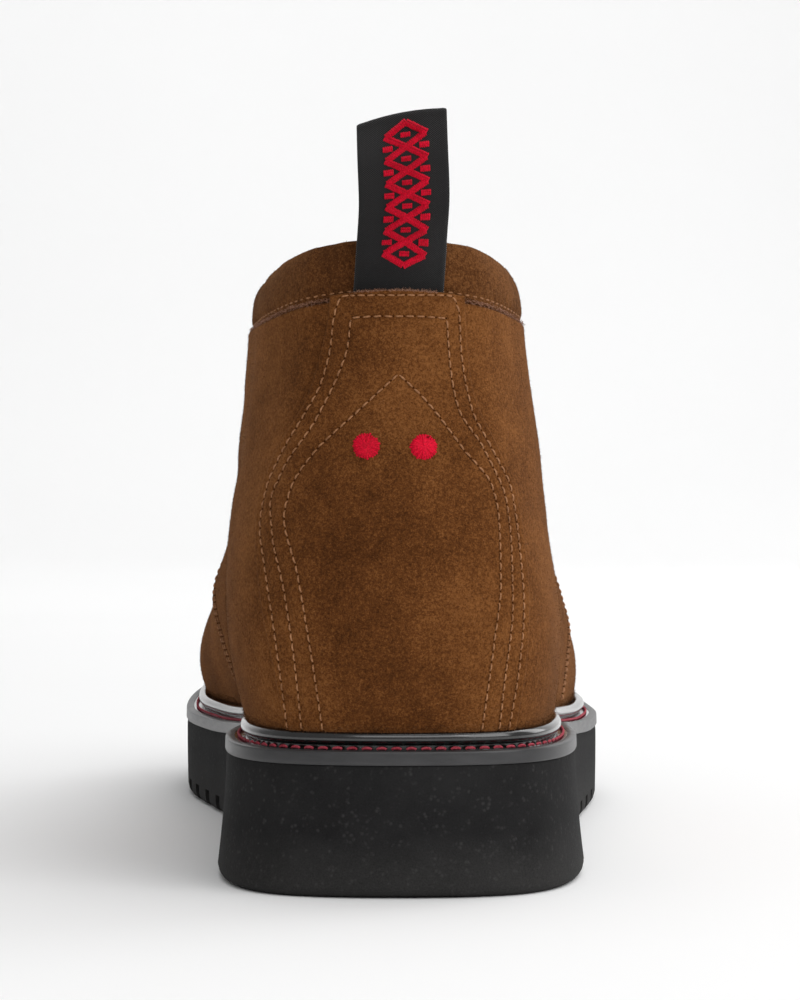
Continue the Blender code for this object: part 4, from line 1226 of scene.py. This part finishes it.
# %% The backstay
BACKSTAY_SEAMS = {
    "outer": (
        (-22.7, 35.0), (-25.5, 57.0), (-27.2, 69.0), (-28.0, 76.0), (-26.7, 84.5), (-24.5, 90.2),
        (-19.4, 100.1), (-16.0, 106.6), (-13.9, 114.5), (-12.9, 122.4), (-11.5, 124.6), (0.0, 125.0),
        (9.6, 124.6), (11.2, 122.6), (11.6, 115.0), (13.8, 101.9), (18.2, 92.7), (21.8, 84.7), (23.3, 74.0),
        (24.4, 59.0), (23.6, 48.3), (21.5, 35.0),
    ),
    "top": ((-9.8, 121.1), (-4.0, 121.4), (2.0, 121.4), (8.8, 121.0)),
    "inner_medial": (
        (-9.8, 120.9), (-10.4, 115.2), (-12.4, 108.8), (-17.2, 99.0), (-23.4, 88.5), (-25.9, 81.0),
        (-25.6, 75.0), (-23.4, 63.5), (-21.7, 51.5), (-20.0, 35.0),
    ),
    "inner_lateral": (
        (8.8, 120.8), (9.4, 111.7), (11.1, 102.0), (16.4, 93.0), (20.9, 81.9), (21.9, 72.0), (22.2, 60.0),
        (20.7, 45.3), (19.6, 35.0),
    ),
    "point_medial": (
        (-0.6, 109.0), (-8.2, 101.4), (-16.8, 93.0), (-22.0, 84.5), (-23.3, 78.4), (-20.9, 67.6),
        (-19.1, 56.7), (-17.7, 47.6), (-15.9, 35.0),
    ),
    "point_lateral": (
        (-0.6, 109.0), (4.2, 104.0), (12.1, 93.3), (18.1, 85.0), (19.4, 78.0), (19.8, 64.5), (18.6, 53.6),
        (16.2, 35.0),
    ),
}


def seen_from_behind(across, height):
    """The (w, t) at which the back of the boot shows these places."""
    w, t = across * 1.15, np.clip((height - 30) / CLIMB_LENGTH, 0.02, 0.98)
    for _ in range(12):
        here = raw_surface(w, t)
        by_w = raw_surface(w + 0.3, t) - here
        by_t = raw_surface(w, t + 0.003) - here
        miss_x, miss_z = across - here[..., 0], height - here[..., 2]
        pivot = by_w[..., 0] * by_t[..., 2] - by_t[..., 0] * by_w[..., 2]
        w = w + 0.3 * (miss_x * by_t[..., 2] - by_t[..., 0] * miss_z) / pivot
        t = np.clip(t + 0.003 * (by_w[..., 0] * miss_z - miss_x * by_w[..., 2]) / pivot, 0, 1)
    return w, t


def drawn(points, steps):
    """A smooth line through a few points."""
    points = np.array(points, float)
    far = distances(points)
    at = np.linspace(0, far[-1], steps)
    return np.stack([smooth(at, far, points[:, k]) for k in range(points.shape[1])], -1)


def backstay():
    panel = Panel(BACK_MEDIAL, BACK_LATERAL, SKIRT, LAID_TOP, BACKSTAY - QUARTER, GAP + QUARTER, pitch=0.6)
    rows = [seen_from_behind(*drawn(points, 160).T) for points in BACKSTAY_SEAMS.values()]
    seams, ways = seams_on(rows, GAP + BACKSTAY)
    panel.build("backstay_suede", SUEDE, "suede", ["backstay"], seams, lift=over_tape)
    lifted = [over_tape(seam, way, climb, LAID_TOP) for seam, way, (_, climb) in zip(seams, ways, rows)]
    return lifted, ways


for number, (line, way) in enumerate(zip(*backstay())):
    sew(threads, holes, line - way * 0.1, way, seed=40 + number)


# %% [markdown]
# ## The collar
# A strip of suede is folded over a roll of foam and sewn along the top. The roll is never even: it is a
# little fuller between the hands that pull on it, and the seam draws small puckers into it.


# %% The collar
COLLAR_SECTION = [
    (COLLAR_OUT - 0.5, GAP),
    (COLLAR_OUT, 3.2),
    (COLLAR_OUT - 0.5, 7.4),
    (COLLAR_OUT - 1.7, COLLAR_HEIGHT - 0.9),
    (-0.9, COLLAR_HEIGHT),
    (1.2 - COLLAR_IN, COLLAR_HEIGHT - 1.0),
    (-COLLAR_IN, 7.0),
    (-COLLAR_IN, 3.0),
    (0.6 - COLLAR_IN, GAP),
]
COLLAR_MIDDLE = -0.6
FLANK_FROM, FLANK_OVER = 28, 50
PUCKER_PITCH, PUCKER_DEPTH, SEAM_DEPTH = 2.3, 0.16, 0.4
LUMPS, LIFT_LUMPS = 0.8, 0.7


def collar_seat(w):
    """Where the collar stands at w, above both the upper's edge and the panels on it, and its out way."""
    top = np.ones_like(w)
    seat = raw_surface(w, top)
    panel = upper_surface(w, top * LAID_TOP, GAP + QUARTER)
    seat[:, 2] = np.maximum(seat[:, 2], panel[:, 2])
    run = raw_surface(w + 1, top) - raw_surface(w - 1, top)
    return seat, unit(np.stack([run[:, 1], -run[:, 0], 0 * run[:, 0]], -1))


def flank_of(w):
    """0 at the back of the collar and 1 along its flanks, where the roll leans in."""
    return ease((np.abs(w) - FLANK_FROM) / FLANK_OVER)


def rounded(points, steps):
    """A smooth closed curve through the points of a section."""
    points = np.array(points, float)
    step = np.linalg.norm(np.diff(points, axis=0, append=points[:1]), axis=1)
    knots = np.concatenate([[0], np.cumsum(step)[:-1]])
    at = np.linspace(0, step.sum(), steps, endpoint=False)
    return np.stack([Loop(knots, points[:, k], step.sum())(at) for k in range(2)], -1)


def collar():
    reach = place(COLLAR_END)
    w = np.linspace(-reach, reach, 520)
    seats, outs = collar_seat(w)
    out, height = rounded(COLLAR_SECTION, 44).T
    round_end = round_over((reach - np.abs(w)) / 2.2)[:, None]
    rise, flank = np.clip(height / COLLAR_HEIGHT, 0, 1), flank_of(w)[:, None]
    lumps = unevenness(w * 2.0 + 40, 0.4 + 0 * w)[:, None] + unevenness(w * 5.0, 0.7 + 0 * w)[:, None] * 0.4
    near_seam = np.exp(-(((height - 2.0) / 2.0) ** 2))
    pucker = np.abs(np.sin(math.pi * w / PUCKER_PITCH))[:, None] * PUCKER_DEPTH * near_seam
    seam = -SEAM_DEPTH * np.exp(-(((height - 1.2) / 0.6) ** 2)) * (out > 0)
    full = lumps * LUMPS * rise + seam - pucker * (out > 0)
    from_middle = out - COLLAR_MIDDLE
    across = COLLAR_MIDDLE + from_middle * (0.25 + 0.75 * round_end) + full * np.sign(from_middle)
    across = across - flank * (0.9 + np.where(w > 0, 1.5, 0.5)[:, None] * rise**2)
    lift = GAP + (height - GAP) * (0.55 + 0.45 * round_end) + lumps * LIFT_LUMPS * (height > 5)
    lift = lift + rise * (0.9 - 1.5 * flank)
    points = seats[:, None] + outs[:, None] * across[..., None] + lift[..., None] * [0, 0, 1]
    piece = Piece()
    piece.sheet(points, around=True)
    for ring in (0, -1):
        centre = points[ring].mean(axis=0)
        piece.sheet([points[ring], centre + (points[ring] - centre) * 0.01], around=True, flip=ring == 0)
    made = piece.make("collar_cuff", CUFF_SUEDE, "collar_suede", ["collar"], sharp=60)
    keep = np.abs(w) < reach - 3
    line = seats[keep] + outs[keep] * (COLLAR_OUT - 0.6 - 0.9 * flank_of(w[keep]))[:, None] + [0, 0, 1.25]
    return line, outs[keep]


COLLAR_SEAM = collar()
sew(threads, holes, *COLLAR_SEAM, pitch=2.0, length=1.15, radius=0.18, seed=60)

# %% [markdown]
# ## The pull loop
# A ribbed tape is folded at a slant and sewn in behind the backstay on one side of the collar and to the
# lining on the other. Its path is drawn in a section through the collar, and its width is laid across it.


# %% The pull loop
HEEL_SEATS, HEEL_WAYS = collar_seat(np.linspace(-40, 40, 161))


def back_of_collar(across):
    """The collar's seat at the back of the boot, at each place across it, and the outward way."""
    return [points_at(across, HEEL_SEATS[:, 0], table) for table in (HEEL_SEATS, HEEL_WAYS)]


def tape_path():
    """The middle line of the folded tape, as (out, height) from the collar's seat."""
    outer, inner = COLLAR_OUT + 2 * GAP + TAPE / 2, -(COLLAR_IN + 3 * GAP + TAPE / 2)
    return [
        (outer, 0.5),
        (outer, 4.5),
        (outer + 1.2, 10.5),
        (outer + 1.7, 19.0),
        (outer + 0.7, TAPE_ABOVE - 10),
        (0.1, TAPE_ABOVE - 1.6),
        (-0.7, TAPE_ABOVE),
        (-1.5, TAPE_ABOVE - 1.6),
        (inner + 0.2, TAPE_ABOVE - 10),
        (inner - 0.5, 20.0),
        (inner - 0.4, 12.0),
        (inner, 6.0),
        (inner, 2.0),
    ]


TAPE_LINE = drawn(tape_path(), 220)


def tape_points(share, out, height):
    """Points of the tape: share runs across it, out and height are in its own section."""
    share, out, height = np.broadcast_arrays(share, out, height)
    sway = smooth(height, (0, 11, 20, 30, 38), (-0.9, -0.2, 0.3, 0.0, -0.2))
    x = TAPE_WIDTH * share + TAPE_MIDDLE + sway
    seat, way = back_of_collar(x.ravel())
    seat, way = seat.reshape(*x.shape, 3), way.reshape(*x.shape, 3)
    middle = back_of_collar(np.array([TAPE_MIDDLE]))[0][0]
    straight = ease((height - COLLAR_HEIGHT) / 7.0)
    rise = np.where(height > COLLAR_HEIGHT, height * (1 + share * TAPE_SLANT / TAPE_ABOVE), height)
    up = np.clip(height / TAPE_ABOVE, 0, 1)
    rise = rise + 0.9 * (1 - (2 * share) ** 2) * up**6
    bow = 0.5 * np.sin(math.pi * up) * np.sin(2.6 * share + height / 9.0)
    y = (seat[..., 1] + way[..., 1] * out) * (1 - straight) + (middle[1] - out - bow) * straight
    return np.stack([x, y, rise + seat[..., 2] * (1 - straight) + middle[2] * straight], -1)


def pull_loop():
    run = np.gradient(TAPE_LINE, axis=0)
    side = unit(np.stack([run[:, 1], -run[:, 0]], -1))
    share = lines(TAPE_WIDTH, 0.5) - 0.5
    far = (0.5 - np.abs(share)) * TAPE_WIDTH
    half = (TAPE / 2 - 0.06) * (0.45 + 0.55 * round_over(far / 0.6))
    thick = half + 0.06 * np.exp(-(((far - 0.8) / 0.35) ** 2))
    sheets = []
    for face in (1, -1):
        out, height = (TAPE_LINE[:, k, None] + face * side[:, k, None] * thick for k in (0, 1))
        sheets.append(tape_points(share[None, :], out, height))
    ring = np.concatenate([sheets[0], sheets[1][:, ::-1]], axis=1)
    piece = Piece()
    piece.sheet(ring, around=True)
    for end in (0, -1):
        piece.sheet([sheets[0][end], sheets[1][end]], flip=end == 0)
    piece.make("pull_tape", TAPE_WEAVE, "tape", ["pull_loop"], weld=0.01)


pull_loop()

# %% [markdown]
# Satin stitch lays thread beside thread, square to the bar it fills. The ornament is a plain chain of
# lozenges. Each bar is sewn from its first corner to its next, on the tape's outer face.


# %% The ornament on the tape
SATIN_PITCH, SATIN_RADIUS, SATIN_RELIEF = 0.42, 0.22, np.array([-0.15, 0.2, 0.34, 0.2, -0.15])
OUTER_LEG = TAPE_LINE[:100]


def outer_face(share, height):
    """Points just above the tape's outer face, for what is woven into it."""
    return tape_points(share, np.interp(height, OUTER_LEG[:, 1], OUTER_LEG[:, 0]) + TAPE / 2 + 0.02, height)


def satin(piece, start, end, width, seed):
    """A bar of satin stitch between two places (across, height) on the tape, in millimetres."""
    draw = random.Random(seed)
    start, end = np.array(start, float), np.array(end, float)
    way = unit(end - start)
    across = np.array([-way[1], way[0]])
    for step in np.arange(0, np.linalg.norm(end - start), SATIN_PITCH):
        middle = start + way * step
        reach = width * (0.5 + draw.uniform(-0.04, 0.04))
        spots = np.array([middle + across * reach * k for k in (-1, -0.5, 0, 0.5, 1)])
        line = outer_face(spots[:, 0] / TAPE_WIDTH, spots[:, 1])
        line[:, 1] -= SATIN_RELIEF + draw.uniform(-0.06, 0.06)
        piece.tube(line, SATIN_RADIUS)


def ornament():
    """A chain of lozenges, with a small dash in each and one at both sides of each knot."""
    piece = Piece()
    first, pitch, count, aside = 8.4, 4.9, 6, 0.7
    half_width, half_height = 4.3, 2.45
    lozenge = [(0, -half_height), (half_width, 0), (0, half_height), (-half_width, 0)]
    for number in range(count):
        middle = first + pitch * number
        corners = [(aside + x, middle + y) for x, y in lozenge]
        for turn in range(4):
            satin(piece, corners[turn], corners[(turn + 1) % 4], 1.15, number * 9 + turn)
        satin(piece, (aside - 0.9, middle), (aside + 0.9, middle), 0.8, number * 9 + 5)
        if number < count - 1:
            knot = middle + pitch / 2
            for side in (-1, 1):
                satin(piece, (aside + side * 3.0, knot), (aside + side * 4.8, knot), 1.0, number * 9 + 6)
    piece.make("tape_ornament", RED_THREAD, "tape", weld=0)


ornament()


# %% [markdown]
# Two round dots are embroidered on the backstay, left and right of the middle. Their threads lie like the
# spokes of a wheel, so a dot is highest in its middle and its rim is a ring of stitch ends.


# %% The embroidered dots
DOTS = ((-7.0, 93.7), (4.4, 93.5))
DOT_SPOKES, DOT_THREAD = 30, 0.27
SPOKE_SHARES, SPOKE_HEIGHTS = [0.02, 0.35, 0.7, 0.93, 1.0], [0.42, 0.38, 0.28, 0.1, -0.15]


def dots():
    piece = Piece()
    draw = random.Random(8)
    turn = turns(DOT_SPOKES)
    for across, up in DOTS:
        reach = np.array([draw.uniform(2.45, 2.75) for _ in turn])
        steps = reach[:, None] * SPOKE_SHARES
        x, height = across + np.cos(turn)[:, None] * steps, up + np.sin(turn)[:, None] * steps
        w, t = seen_from_behind(x, height)
        uneven = np.array([[draw.uniform(-0.1, 0.16)] for _ in turn])
        for line in skin(w, t, GAP + BACKSTAY + uneven + SPOKE_HEIGHTS):
            piece.tube(line, DOT_THREAD)
    piece.make("heel_dots", RED_THREAD, "suede", weld=0)


dots()

# %% [markdown]
# ## The welt
# A strip of polished rubber runs all round. It has a round bead that closes the gap to the upper, a
# channel for the lock stitches that hold the sole, and a thin rim outside. Its section is swept round
# the boot at its own height.


# %% The welt and its red stitches
def swept(section, count):
    """The section's points all round the boot."""
    rows = []
    w = np.linspace(0, AROUND, count, endpoint=False)
    for inset, height in section:
        x, y, _, _ = edge(w, inset)
        rows.append(np.stack([x, y, sole_top(y) + WELT_BASE + height], -1))
    return np.stack(rows, 1)


def welt():
    rim = WELT - 1.25
    outer = [
        (0.0, -GAP),
        (0.0, rim - 0.5),
        (0.12, rim - 0.16),
        (0.45, rim),
        (1.3, rim + 0.05),
        (STITCH_INSET - 1.0, rim),
        (STITCH_INSET - 0.9, rim - 0.5),
    ]
    wide, tall = BEAD_RADIUS + 0.25, BEAD_RADIUS + 0.35
    turn = np.linspace(-1.35, math.pi - 0.05, 20)
    bead = [(BEAD_INSET - wide * math.cos(a), WELT + 1.05 + tall * math.sin(a)) for a in turn]
    inner = [
        (STITCH_INSET - 1.0, rim - 0.1),
        (STITCH_INSET, rim - 0.05),
        (BEAD_INSET - 0.35, rim - 0.05),
        *bead,
        (BEAD_INSET + wide, WELT + 0.3),
        (BEAD_INSET + wide + 0.3, WELT),
        (WELT_REACH, WELT),
        (WELT_REACH, 0.0),
        (STITCH_INSET - 1.0, 0.0),
    ]
    parts = ("welt_rim", STRIP, "midsole_rubber", outer[::-1]), ("welt_band", WELT_GLOSS, "welt_gloss", inner)
    for name, finish, slot, section in parts:
        piece = Piece()
        piece.sheet(swept(section, 620), around=True, closed=True)
        piece.make(name, finish, slot, ["welt"], sharp=SOLE_SHARP)
    stitches = Piece()
    line = swept([(STITCH_INSET - 0.1, rim + 0.17)], 1400)[:, 0]
    line = np.vstack([line, line[:1]])
    ups = np.tile([0.0, 0, 1], (len(line), 1))
    sew(stitches, None, line, ups, pitch=3.1, length=2.0, radius=0.3, dive=0.7, seed=70)
    stitches.make("welt_stitches", WELT_THREAD, "welt_gloss", weld=0)


welt()

# %% [markdown]
# ## The tongue
# The tongue is sewn in under the vamp and lies beneath both facings. Above them it leans back into the
# collar and ends in a round edge. A row for each section is bridged over the throat, then thickened.


# %% The tongue
def bridge(lateral, medial, steps):
    """Points over the throat, on a curve that carries on from both facings."""
    start, end = lateral[-1], medial[-1]
    span = np.linalg.norm(end - start) / 3
    first = start + unit(start - lateral[-2]) * span
    second = end + unit(end - medial[-2]) * span
    return cubic(start, first, second, end, np.linspace(0, 1, steps + 2)[1:-1, None])


def tongue():
    low, high = place(TONGUE_TOP) + 1.5, place(TONGUE_FOOT) - 4
    rows = []
    for w in np.linspace(low, high, 70):
        sink = np.clip((place(TONGUE_LEAVES) - w) / (place(TONGUE_LEAVES) - low), 0, 1)
        down = WALL + 2 * GAP + TONGUE_SINK * sink
        t = np.linspace(8 / 9, 0.965, 6)
        lateral, medial = upper_surface(w, t, -down), upper_surface(AROUND - w, t, -down)
        rows.append(np.vstack([lateral, bridge(lateral, medial, 22), medial[::-1]]))
    rows = np.array(rows)
    middle = rows[0].mean(axis=0)
    rise = np.array(TONGUE_CREST["rise"], float)
    crest = []
    for height in np.linspace(0.6, rise[-1], 34):
        lean = smooth(height, np.append(0, rise), np.append(0, TONGUE_CREST["lean"]))
        width = smooth(height, np.append(0, rise), np.append(1.0, TONGUE_CREST["width"]))
        crest.append(middle + (rows[0] - middle) * [float(width), 1, 1] + [0, -float(lean), height])
    face = relaxed(np.concatenate([rows[::-1], crest]), 6)
    along, across = np.gradient(face, axis=0), np.gradient(face, axis=1)
    normal = unit(np.cross(along, across))
    normal *= np.sign(normal[..., 1:2].mean() or 1)
    step = np.linalg.norm(across, axis=-1)
    from_side = np.minimum(np.cumsum(step, axis=1), np.cumsum(step[:, ::-1], axis=1)[:, ::-1])
    up = np.linalg.norm(along, axis=-1)
    from_top = np.cumsum(up[::-1], axis=0)[::-1]
    far = np.minimum(from_side, from_top)
    half = (TONGUE / 2 * round_over(np.maximum(far / 1.6, 0.02)))[..., None]
    centre = face - normal * TONGUE / 2
    fronts, backs = centre + normal * half, centre - normal * half
    piece = Piece()
    piece.sheet(np.concatenate([fronts, backs[:, ::-1]], axis=1), around=True)
    for end in (0, -1):
        piece.sheet([fronts[end], backs[end]], flip=end == 0)
    piece.make("tongue_suede", SUEDE, "suede", ["tongue"], weld=0.01)


tongue()

# %% [markdown]
# ## Eyelets and lace
# An eyelet is a short metal tube, rolled over at the front into a ring. The lace is a round braid. It
# enters each pair of eyelets from behind, crosses over the tongue, and its ends stay inside the top pair.


# %% Eyelets and lace
def turned(piece, outline, seat):
    """A ring turned from a closed outline of (radius, height) points, standing on a seat."""
    foot, axis = seat
    side = unit(np.cross(axis, [0, 1, 0]))
    ways = spokes(side, np.cross(axis, side), 36)
    piece.sheet([foot + ways * r + axis * h for r, h in outline], around=True, closed=True)


def eyelets():
    bore, tube = EYELET_HOLE - 1.0, EYELET_HOLE - 0.4
    under = -(QUARTER + GAP + WALL - 0.1)
    angles = np.linspace(-0.3, math.pi, 14)
    roll = [(EYELET_HOLE + 0.1 + 1.05 * math.cos(a), 0.28 + 0.78 * math.sin(a)) for a in angles]
    outline = [*roll, (bore, 0.0), (bore, under), (tube, under), (tube, -0.2)]
    for (side, number), seat in eyelet_seats().items():
        piece = Piece()
        turned(piece, outline, seat)
        name = f"eyelet_{side}_{number + 1}"
        piece.make(f"{name}_ring", METAL, "eyelet_metal", [name], sharp=60)


def braid(piece, line, radius):
    """A round braid: its radius rises where a strand comes to the top."""
    sides = 16
    turn = turns(sides)[None, :]
    along = np.arange(len(line))[:, None] * 0.33
    strands = np.sin(4 * turn + along * 2.2) * np.sin(4 * turn - along * 2.2)
    piece.tube(line, radius * (0.97 + 0.06 * strands), sides)


def lace():
    seats = eyelet_seats()
    pairs = [(("lateral", 2), ("medial", 2), 0)]
    for number in (1, 0):
        pairs.append((("lateral", number + 1), ("medial", number), 0))
        pairs.append((("medial", number + 1), ("lateral", number), 1))
    piece = Piece()
    for a, b, over in pairs:
        (foot_a, axis_a), (foot_b, axis_b) = seats[a], seats[b]
        axis, way = unit(axis_a + axis_b), unit(foot_b - foot_a)
        top = EYELET_TOP + LACE_RADIUS * 0.9
        bow = LACE_BOW * 0.75 + over * LACE_RADIUS * 2.05
        start, end = (
            [foot - up * 2.6, foot - up * 0.4, foot + up * top + inward * 1.1]
            for foot, up, inward in ((foot_a, axis_a, way), (foot_b, axis_b, -way))
        )
        middle = [
            foot_a * (1 - share) + foot_b * share + axis * (top + bow * height)
            for share, height in ((0.25, 0.62), (0.5, 1.0), (0.75, 0.62))
        ]
        braid(piece, relaxed(drawn([*start, *middle, *end[::-1]], 130), 10), LACE_RADIUS)
    piece.make("lace_braid", CORD, "lace", ["lace"], weld=0, sharp=60)


eyelets()
lace()
threads.make("tan_stitches", TAN_THREAD, "suede", weld=0, sharp=60)
holes.make("needle_holes", HOLE_SHADE, "suede", weld=0, sharp=60)

# %% [markdown]
# ## The nap
# Sanding leaves short fibres standing on suede. On its face they only make it look soft, but along its
# outline they show one by one. Each fibre here is one narrow triangle, rooted somewhere at random on the
# outer side of a suede piece and bent a little down. A raw fringe also stands along the collar's seam and
# along the top of the backstay.


# %% Fibres
NAP = {
    "backstay_suede": 4.0,
    "collar_cuff": 3.2,
    "quarter_lateral_suede": 2.4,
    "quarter_medial_suede": 2.4,
    "vamp_suede": 1.8,
    "tongue_suede": 1.6,
}
# the foot's own place inside the boot: only faces that look away from it carry fibres
CORE_LOW, CORE_HIGH = (0, -95, -np.inf), (0, 80, 95)
VAMP_COVERED = 4  # behind this place along the boot, panels cover the vamp
SHORT_NAP, LOOSE_EDGE = 0.42, (5.0, 1.0)  # the nap's length, and how dense and long it is at lower edges
LOW_EDGE = (1.6, 3.9)  # where a piece's lower edge shows, above the welt
FRINGE, TAPE_FRINGE = 7000, 900  # how many fibres stand along the collar's seam and the backstay's top


def read(items, name, width=0, kind=float):
    """One property of all items of a mesh, as a row or, with a width, as a table."""
    values = np.empty(len(items) * max(width, 1), kind)
    items.foreach_get(name, values)
    return values.reshape(-1, width) if width else values


def fibres_at(piece, roots, normals, length, draw):
    """One leaning triangle at each root."""
    count = len(roots)
    lean = draw.normal(size=(count, 3)) * 0.42 + [0, 0, -0.2]
    way = normals * 0.7 + lean
    way /= np.linalg.norm(way, axis=1, keepdims=True)
    side = np.cross(way, draw.normal(size=(count, 3)))
    side *= draw.uniform(0.035, 0.06, (count, 1)) / np.linalg.norm(side, axis=1, keepdims=True)
    tips = roots + way * draw.uniform(0.5, 1.0, (count, 1)) * length
    start = roots - normals * 0.06
    piece.add(np.stack([start - side, start + side, tips], 1), np.arange(count * 3).reshape(-1, 3))


def nap_on(piece, made, per_square, length, draw, low=False):
    """Fibres spread evenly over a piece's outer side, or only along its lower edge, so many to a mm²."""
    mesh = made.data
    centre, normal = read(mesh.polygons, "center", 3) / MM, read(mesh.polygons, "normal", 3)
    area, start = read(mesh.polygons, "area"), read(mesh.polygons, "loop_start", kind=int)
    corners, spots = read(mesh.loops, "vertex_index", kind=int), read(mesh.vertices, "co", 3) / MM
    core = np.clip(centre, CORE_LOW, CORE_HIGH)
    out = centre - core
    facing = (out * normal).sum(axis=1) / np.linalg.norm(out, axis=1)
    weight = area / MM**2 * (facing > 0.25)
    if made.name == "vamp_suede":
        weight = weight * (centre[:, 1] >= VAMP_COVERED)
    if low:
        over_welt = centre[:, 2] - sole_top(centre[:, 1] - SHIFT[1]) - WELT_BASE - WELT
        weight = weight * (over_welt > LOW_EDGE[0]) * (over_welt < LOW_EDGE[1])
    number = int(weight.sum() * per_square)
    chosen = draw.choice(len(area), number, p=weight / weight.sum())
    a, b, c = (spots[corners[start[chosen] + k]] for k in (0, 1, 2))
    u, v = draw.uniform(size=(2, number, 1))
    u, v = np.where(u + v > 1, 1 - u, u), np.where(u + v > 1, 1 - v, v)
    roots = a + (b - a) * u + (c - a) * v - SHIFT
    opposite = draw.uniform(size=(number, 1)) < 0.5
    roots = np.where(opposite, a + c - 2 * SHIFT - roots, roots)
    fibres_at(piece, roots, normal[chosen], length, draw)
    return number


def nap():
    draw = np.random.default_rng(12)
    piece = Piece()
    for name, per_square in NAP.items():
        made = bpy.data.objects[name]
        number = nap_on(piece, made, per_square, SHORT_NAP, draw)
        if name not in ("tongue_suede", "collar_cuff"):
            number += nap_on(piece, made, *LOOSE_EDGE, draw, low=True)
        print(name, number, "fibres")
    piece.make("suede_nap", NAP_SUEDE, "suede", weld=0)
    line, ways = COLLAR_SEAM
    pick = draw.integers(0, len(line), FRINGE)
    loose = draw.normal(size=(FRINGE, 3)) * [0.22, 0.22, 0.3]
    roots = line[pick] + ways[pick] * 0.5 + [0, 0, -1.25] + loose
    fringe = Piece()
    fibres_at(fringe, roots, ways[pick] * 0.8, 0.65, draw)
    w = draw.uniform(-14.5, 12.7, TAPE_FRINGE)
    loose = draw.normal(size=(TAPE_FRINGE, 3)) * [0, 0.35, 0.12]
    roots = skin(w, LAID_TOP, GAP + BACKSTAY - 0.2) + loose
    roots[:, 2] += 1.3
    roots[:, 1] -= 1.5 * (np.abs(roots[:, 0] - TAPE_MIDDLE) < TAPE_WIDTH / 2 + 0.6)
    fibres_at(fringe, roots, np.tile([0.0, -0.7, 0.7], (TAPE_FRINGE, 1)), 0.7, draw)
    fringe.make("raw_fringe", RAW_FIBRE, "suede", weld=0)


nap()

# %% [markdown]
# ## The studio
# The boot stands on a pale sweep: a floor that bends up into the backdrop, so no horizon shows. A pale room
# and five large soft lights light it. The first two face the heel, one hangs above, one gives the far side
# a rim, and the last brightens the backdrop. The camera stands low behind the heel, at the ankle's height.


# %% Sweep, lights and camera
LIGHTS = [
    # name, place, what it points at, width and height, power
    ("key", (1.1, -1.0, 0.9), (0, 0, 0.08), (1.2, 1.2), 10.5),
    ("front", (0.2, -1.9, 1.3), (0, -0.1, 0.08), (1.6, 1.0), 9.0),
    ("top", (0.4, 0.2, 1.5), (0, 0, 0), (1.8, 1.8), 15.5),
    ("rim", (1.3, 0.9, 0.8), (0, 0, 0.08), (0.8, 1.2), 6),
    ("backdrop", (0.0, 1.4, 1.4), (0, 1.9, 0.9), (2.4, 1.2), 11.3),
]
ROOM_LIGHT = 0.32
SWEEP_BEND, SWEEP_START = 0.8, 1.6
CAMERA, AIM_ALONG, AIM_HEIGHT = (-0.0096, -0.8515, 0.098), -0.15, 0.083
LENS, SENSOR = 122.0, 36.0


def aim(made, target):
    """Turns a light or a camera, which look down their own -Z, towards a place."""
    made.rotation_euler = (Vector(target) - made.location).to_track_quat("-Z", "Y").to_euler()


def sweep():
    finish = Finish("paper_sweep", specular_ior_level=0.1)
    cloud = finish.noise(400, 2, 0.5)
    colour = finish.ramp(cloud, (0.2, (0.88, 0.88, 0.88)), (0.8, (0.90, 0.90, 0.90)))
    finish.set(base_color=colour, roughness=0.9)
    angles = np.linspace(0, math.pi / 2, 24)
    bend = [(SWEEP_START + SWEEP_BEND * math.sin(a), SWEEP_BEND - SWEEP_BEND * math.cos(a)) for a in angles]
    rows = [(-2.5, 0.0), *bend, (2.4, 3.5)]
    mesh = bpy.data.meshes.new("sweep")
    points = [(x, along, height) for along, height in rows for x in (-3.0, 3.0)]
    faces = [(2 * i, 2 * i + 1, 2 * i + 3, 2 * i + 2) for i in range(len(rows) - 1)]
    mesh.from_pydata(points, [], faces)
    mesh.shade_smooth()
    mesh.materials.append(finish.material)
    into_scene("sweep", mesh)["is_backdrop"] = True


def soft_light(name, spot, target, size, power):
    lamp = bpy.data.lights.new(name, "AREA")
    lamp.shape, lamp.size, lamp.size_y, lamp.energy = "RECTANGLE", *size, power
    made = into_scene(name, lamp)
    made.location = spot
    aim(made, target)


def room(strength):
    world = bpy.data.worlds.new("pale_room")
    world.use_nodes = True
    glow = world.node_tree.nodes["Background"].inputs
    glow["Color"].default_value, glow["Strength"].default_value = (1.0, 1.0, 1.0, 1.0), strength
    bpy.context.scene.world = world


def camera():
    """Almost level, 0.70 m behind the heel."""
    lens = bpy.data.cameras.new("camera")
    lens.lens, lens.sensor_fit = LENS, "VERTICAL"
    lens.sensor_width, lens.sensor_height = SENSOR, SENSOR
    made = into_scene("camera", lens)
    made.location = CAMERA
    low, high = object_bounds()
    aim(made, ((low[0] + high[0]) / 2, AIM_ALONG, AIM_HEIGHT))
    bpy.context.scene.camera = made


sweep()
room(ROOM_LIGHT)
for light in LIGHTS:
    soft_light(*light)
camera()
bpy.context.scene.view_settings.view_transform = "Standard"
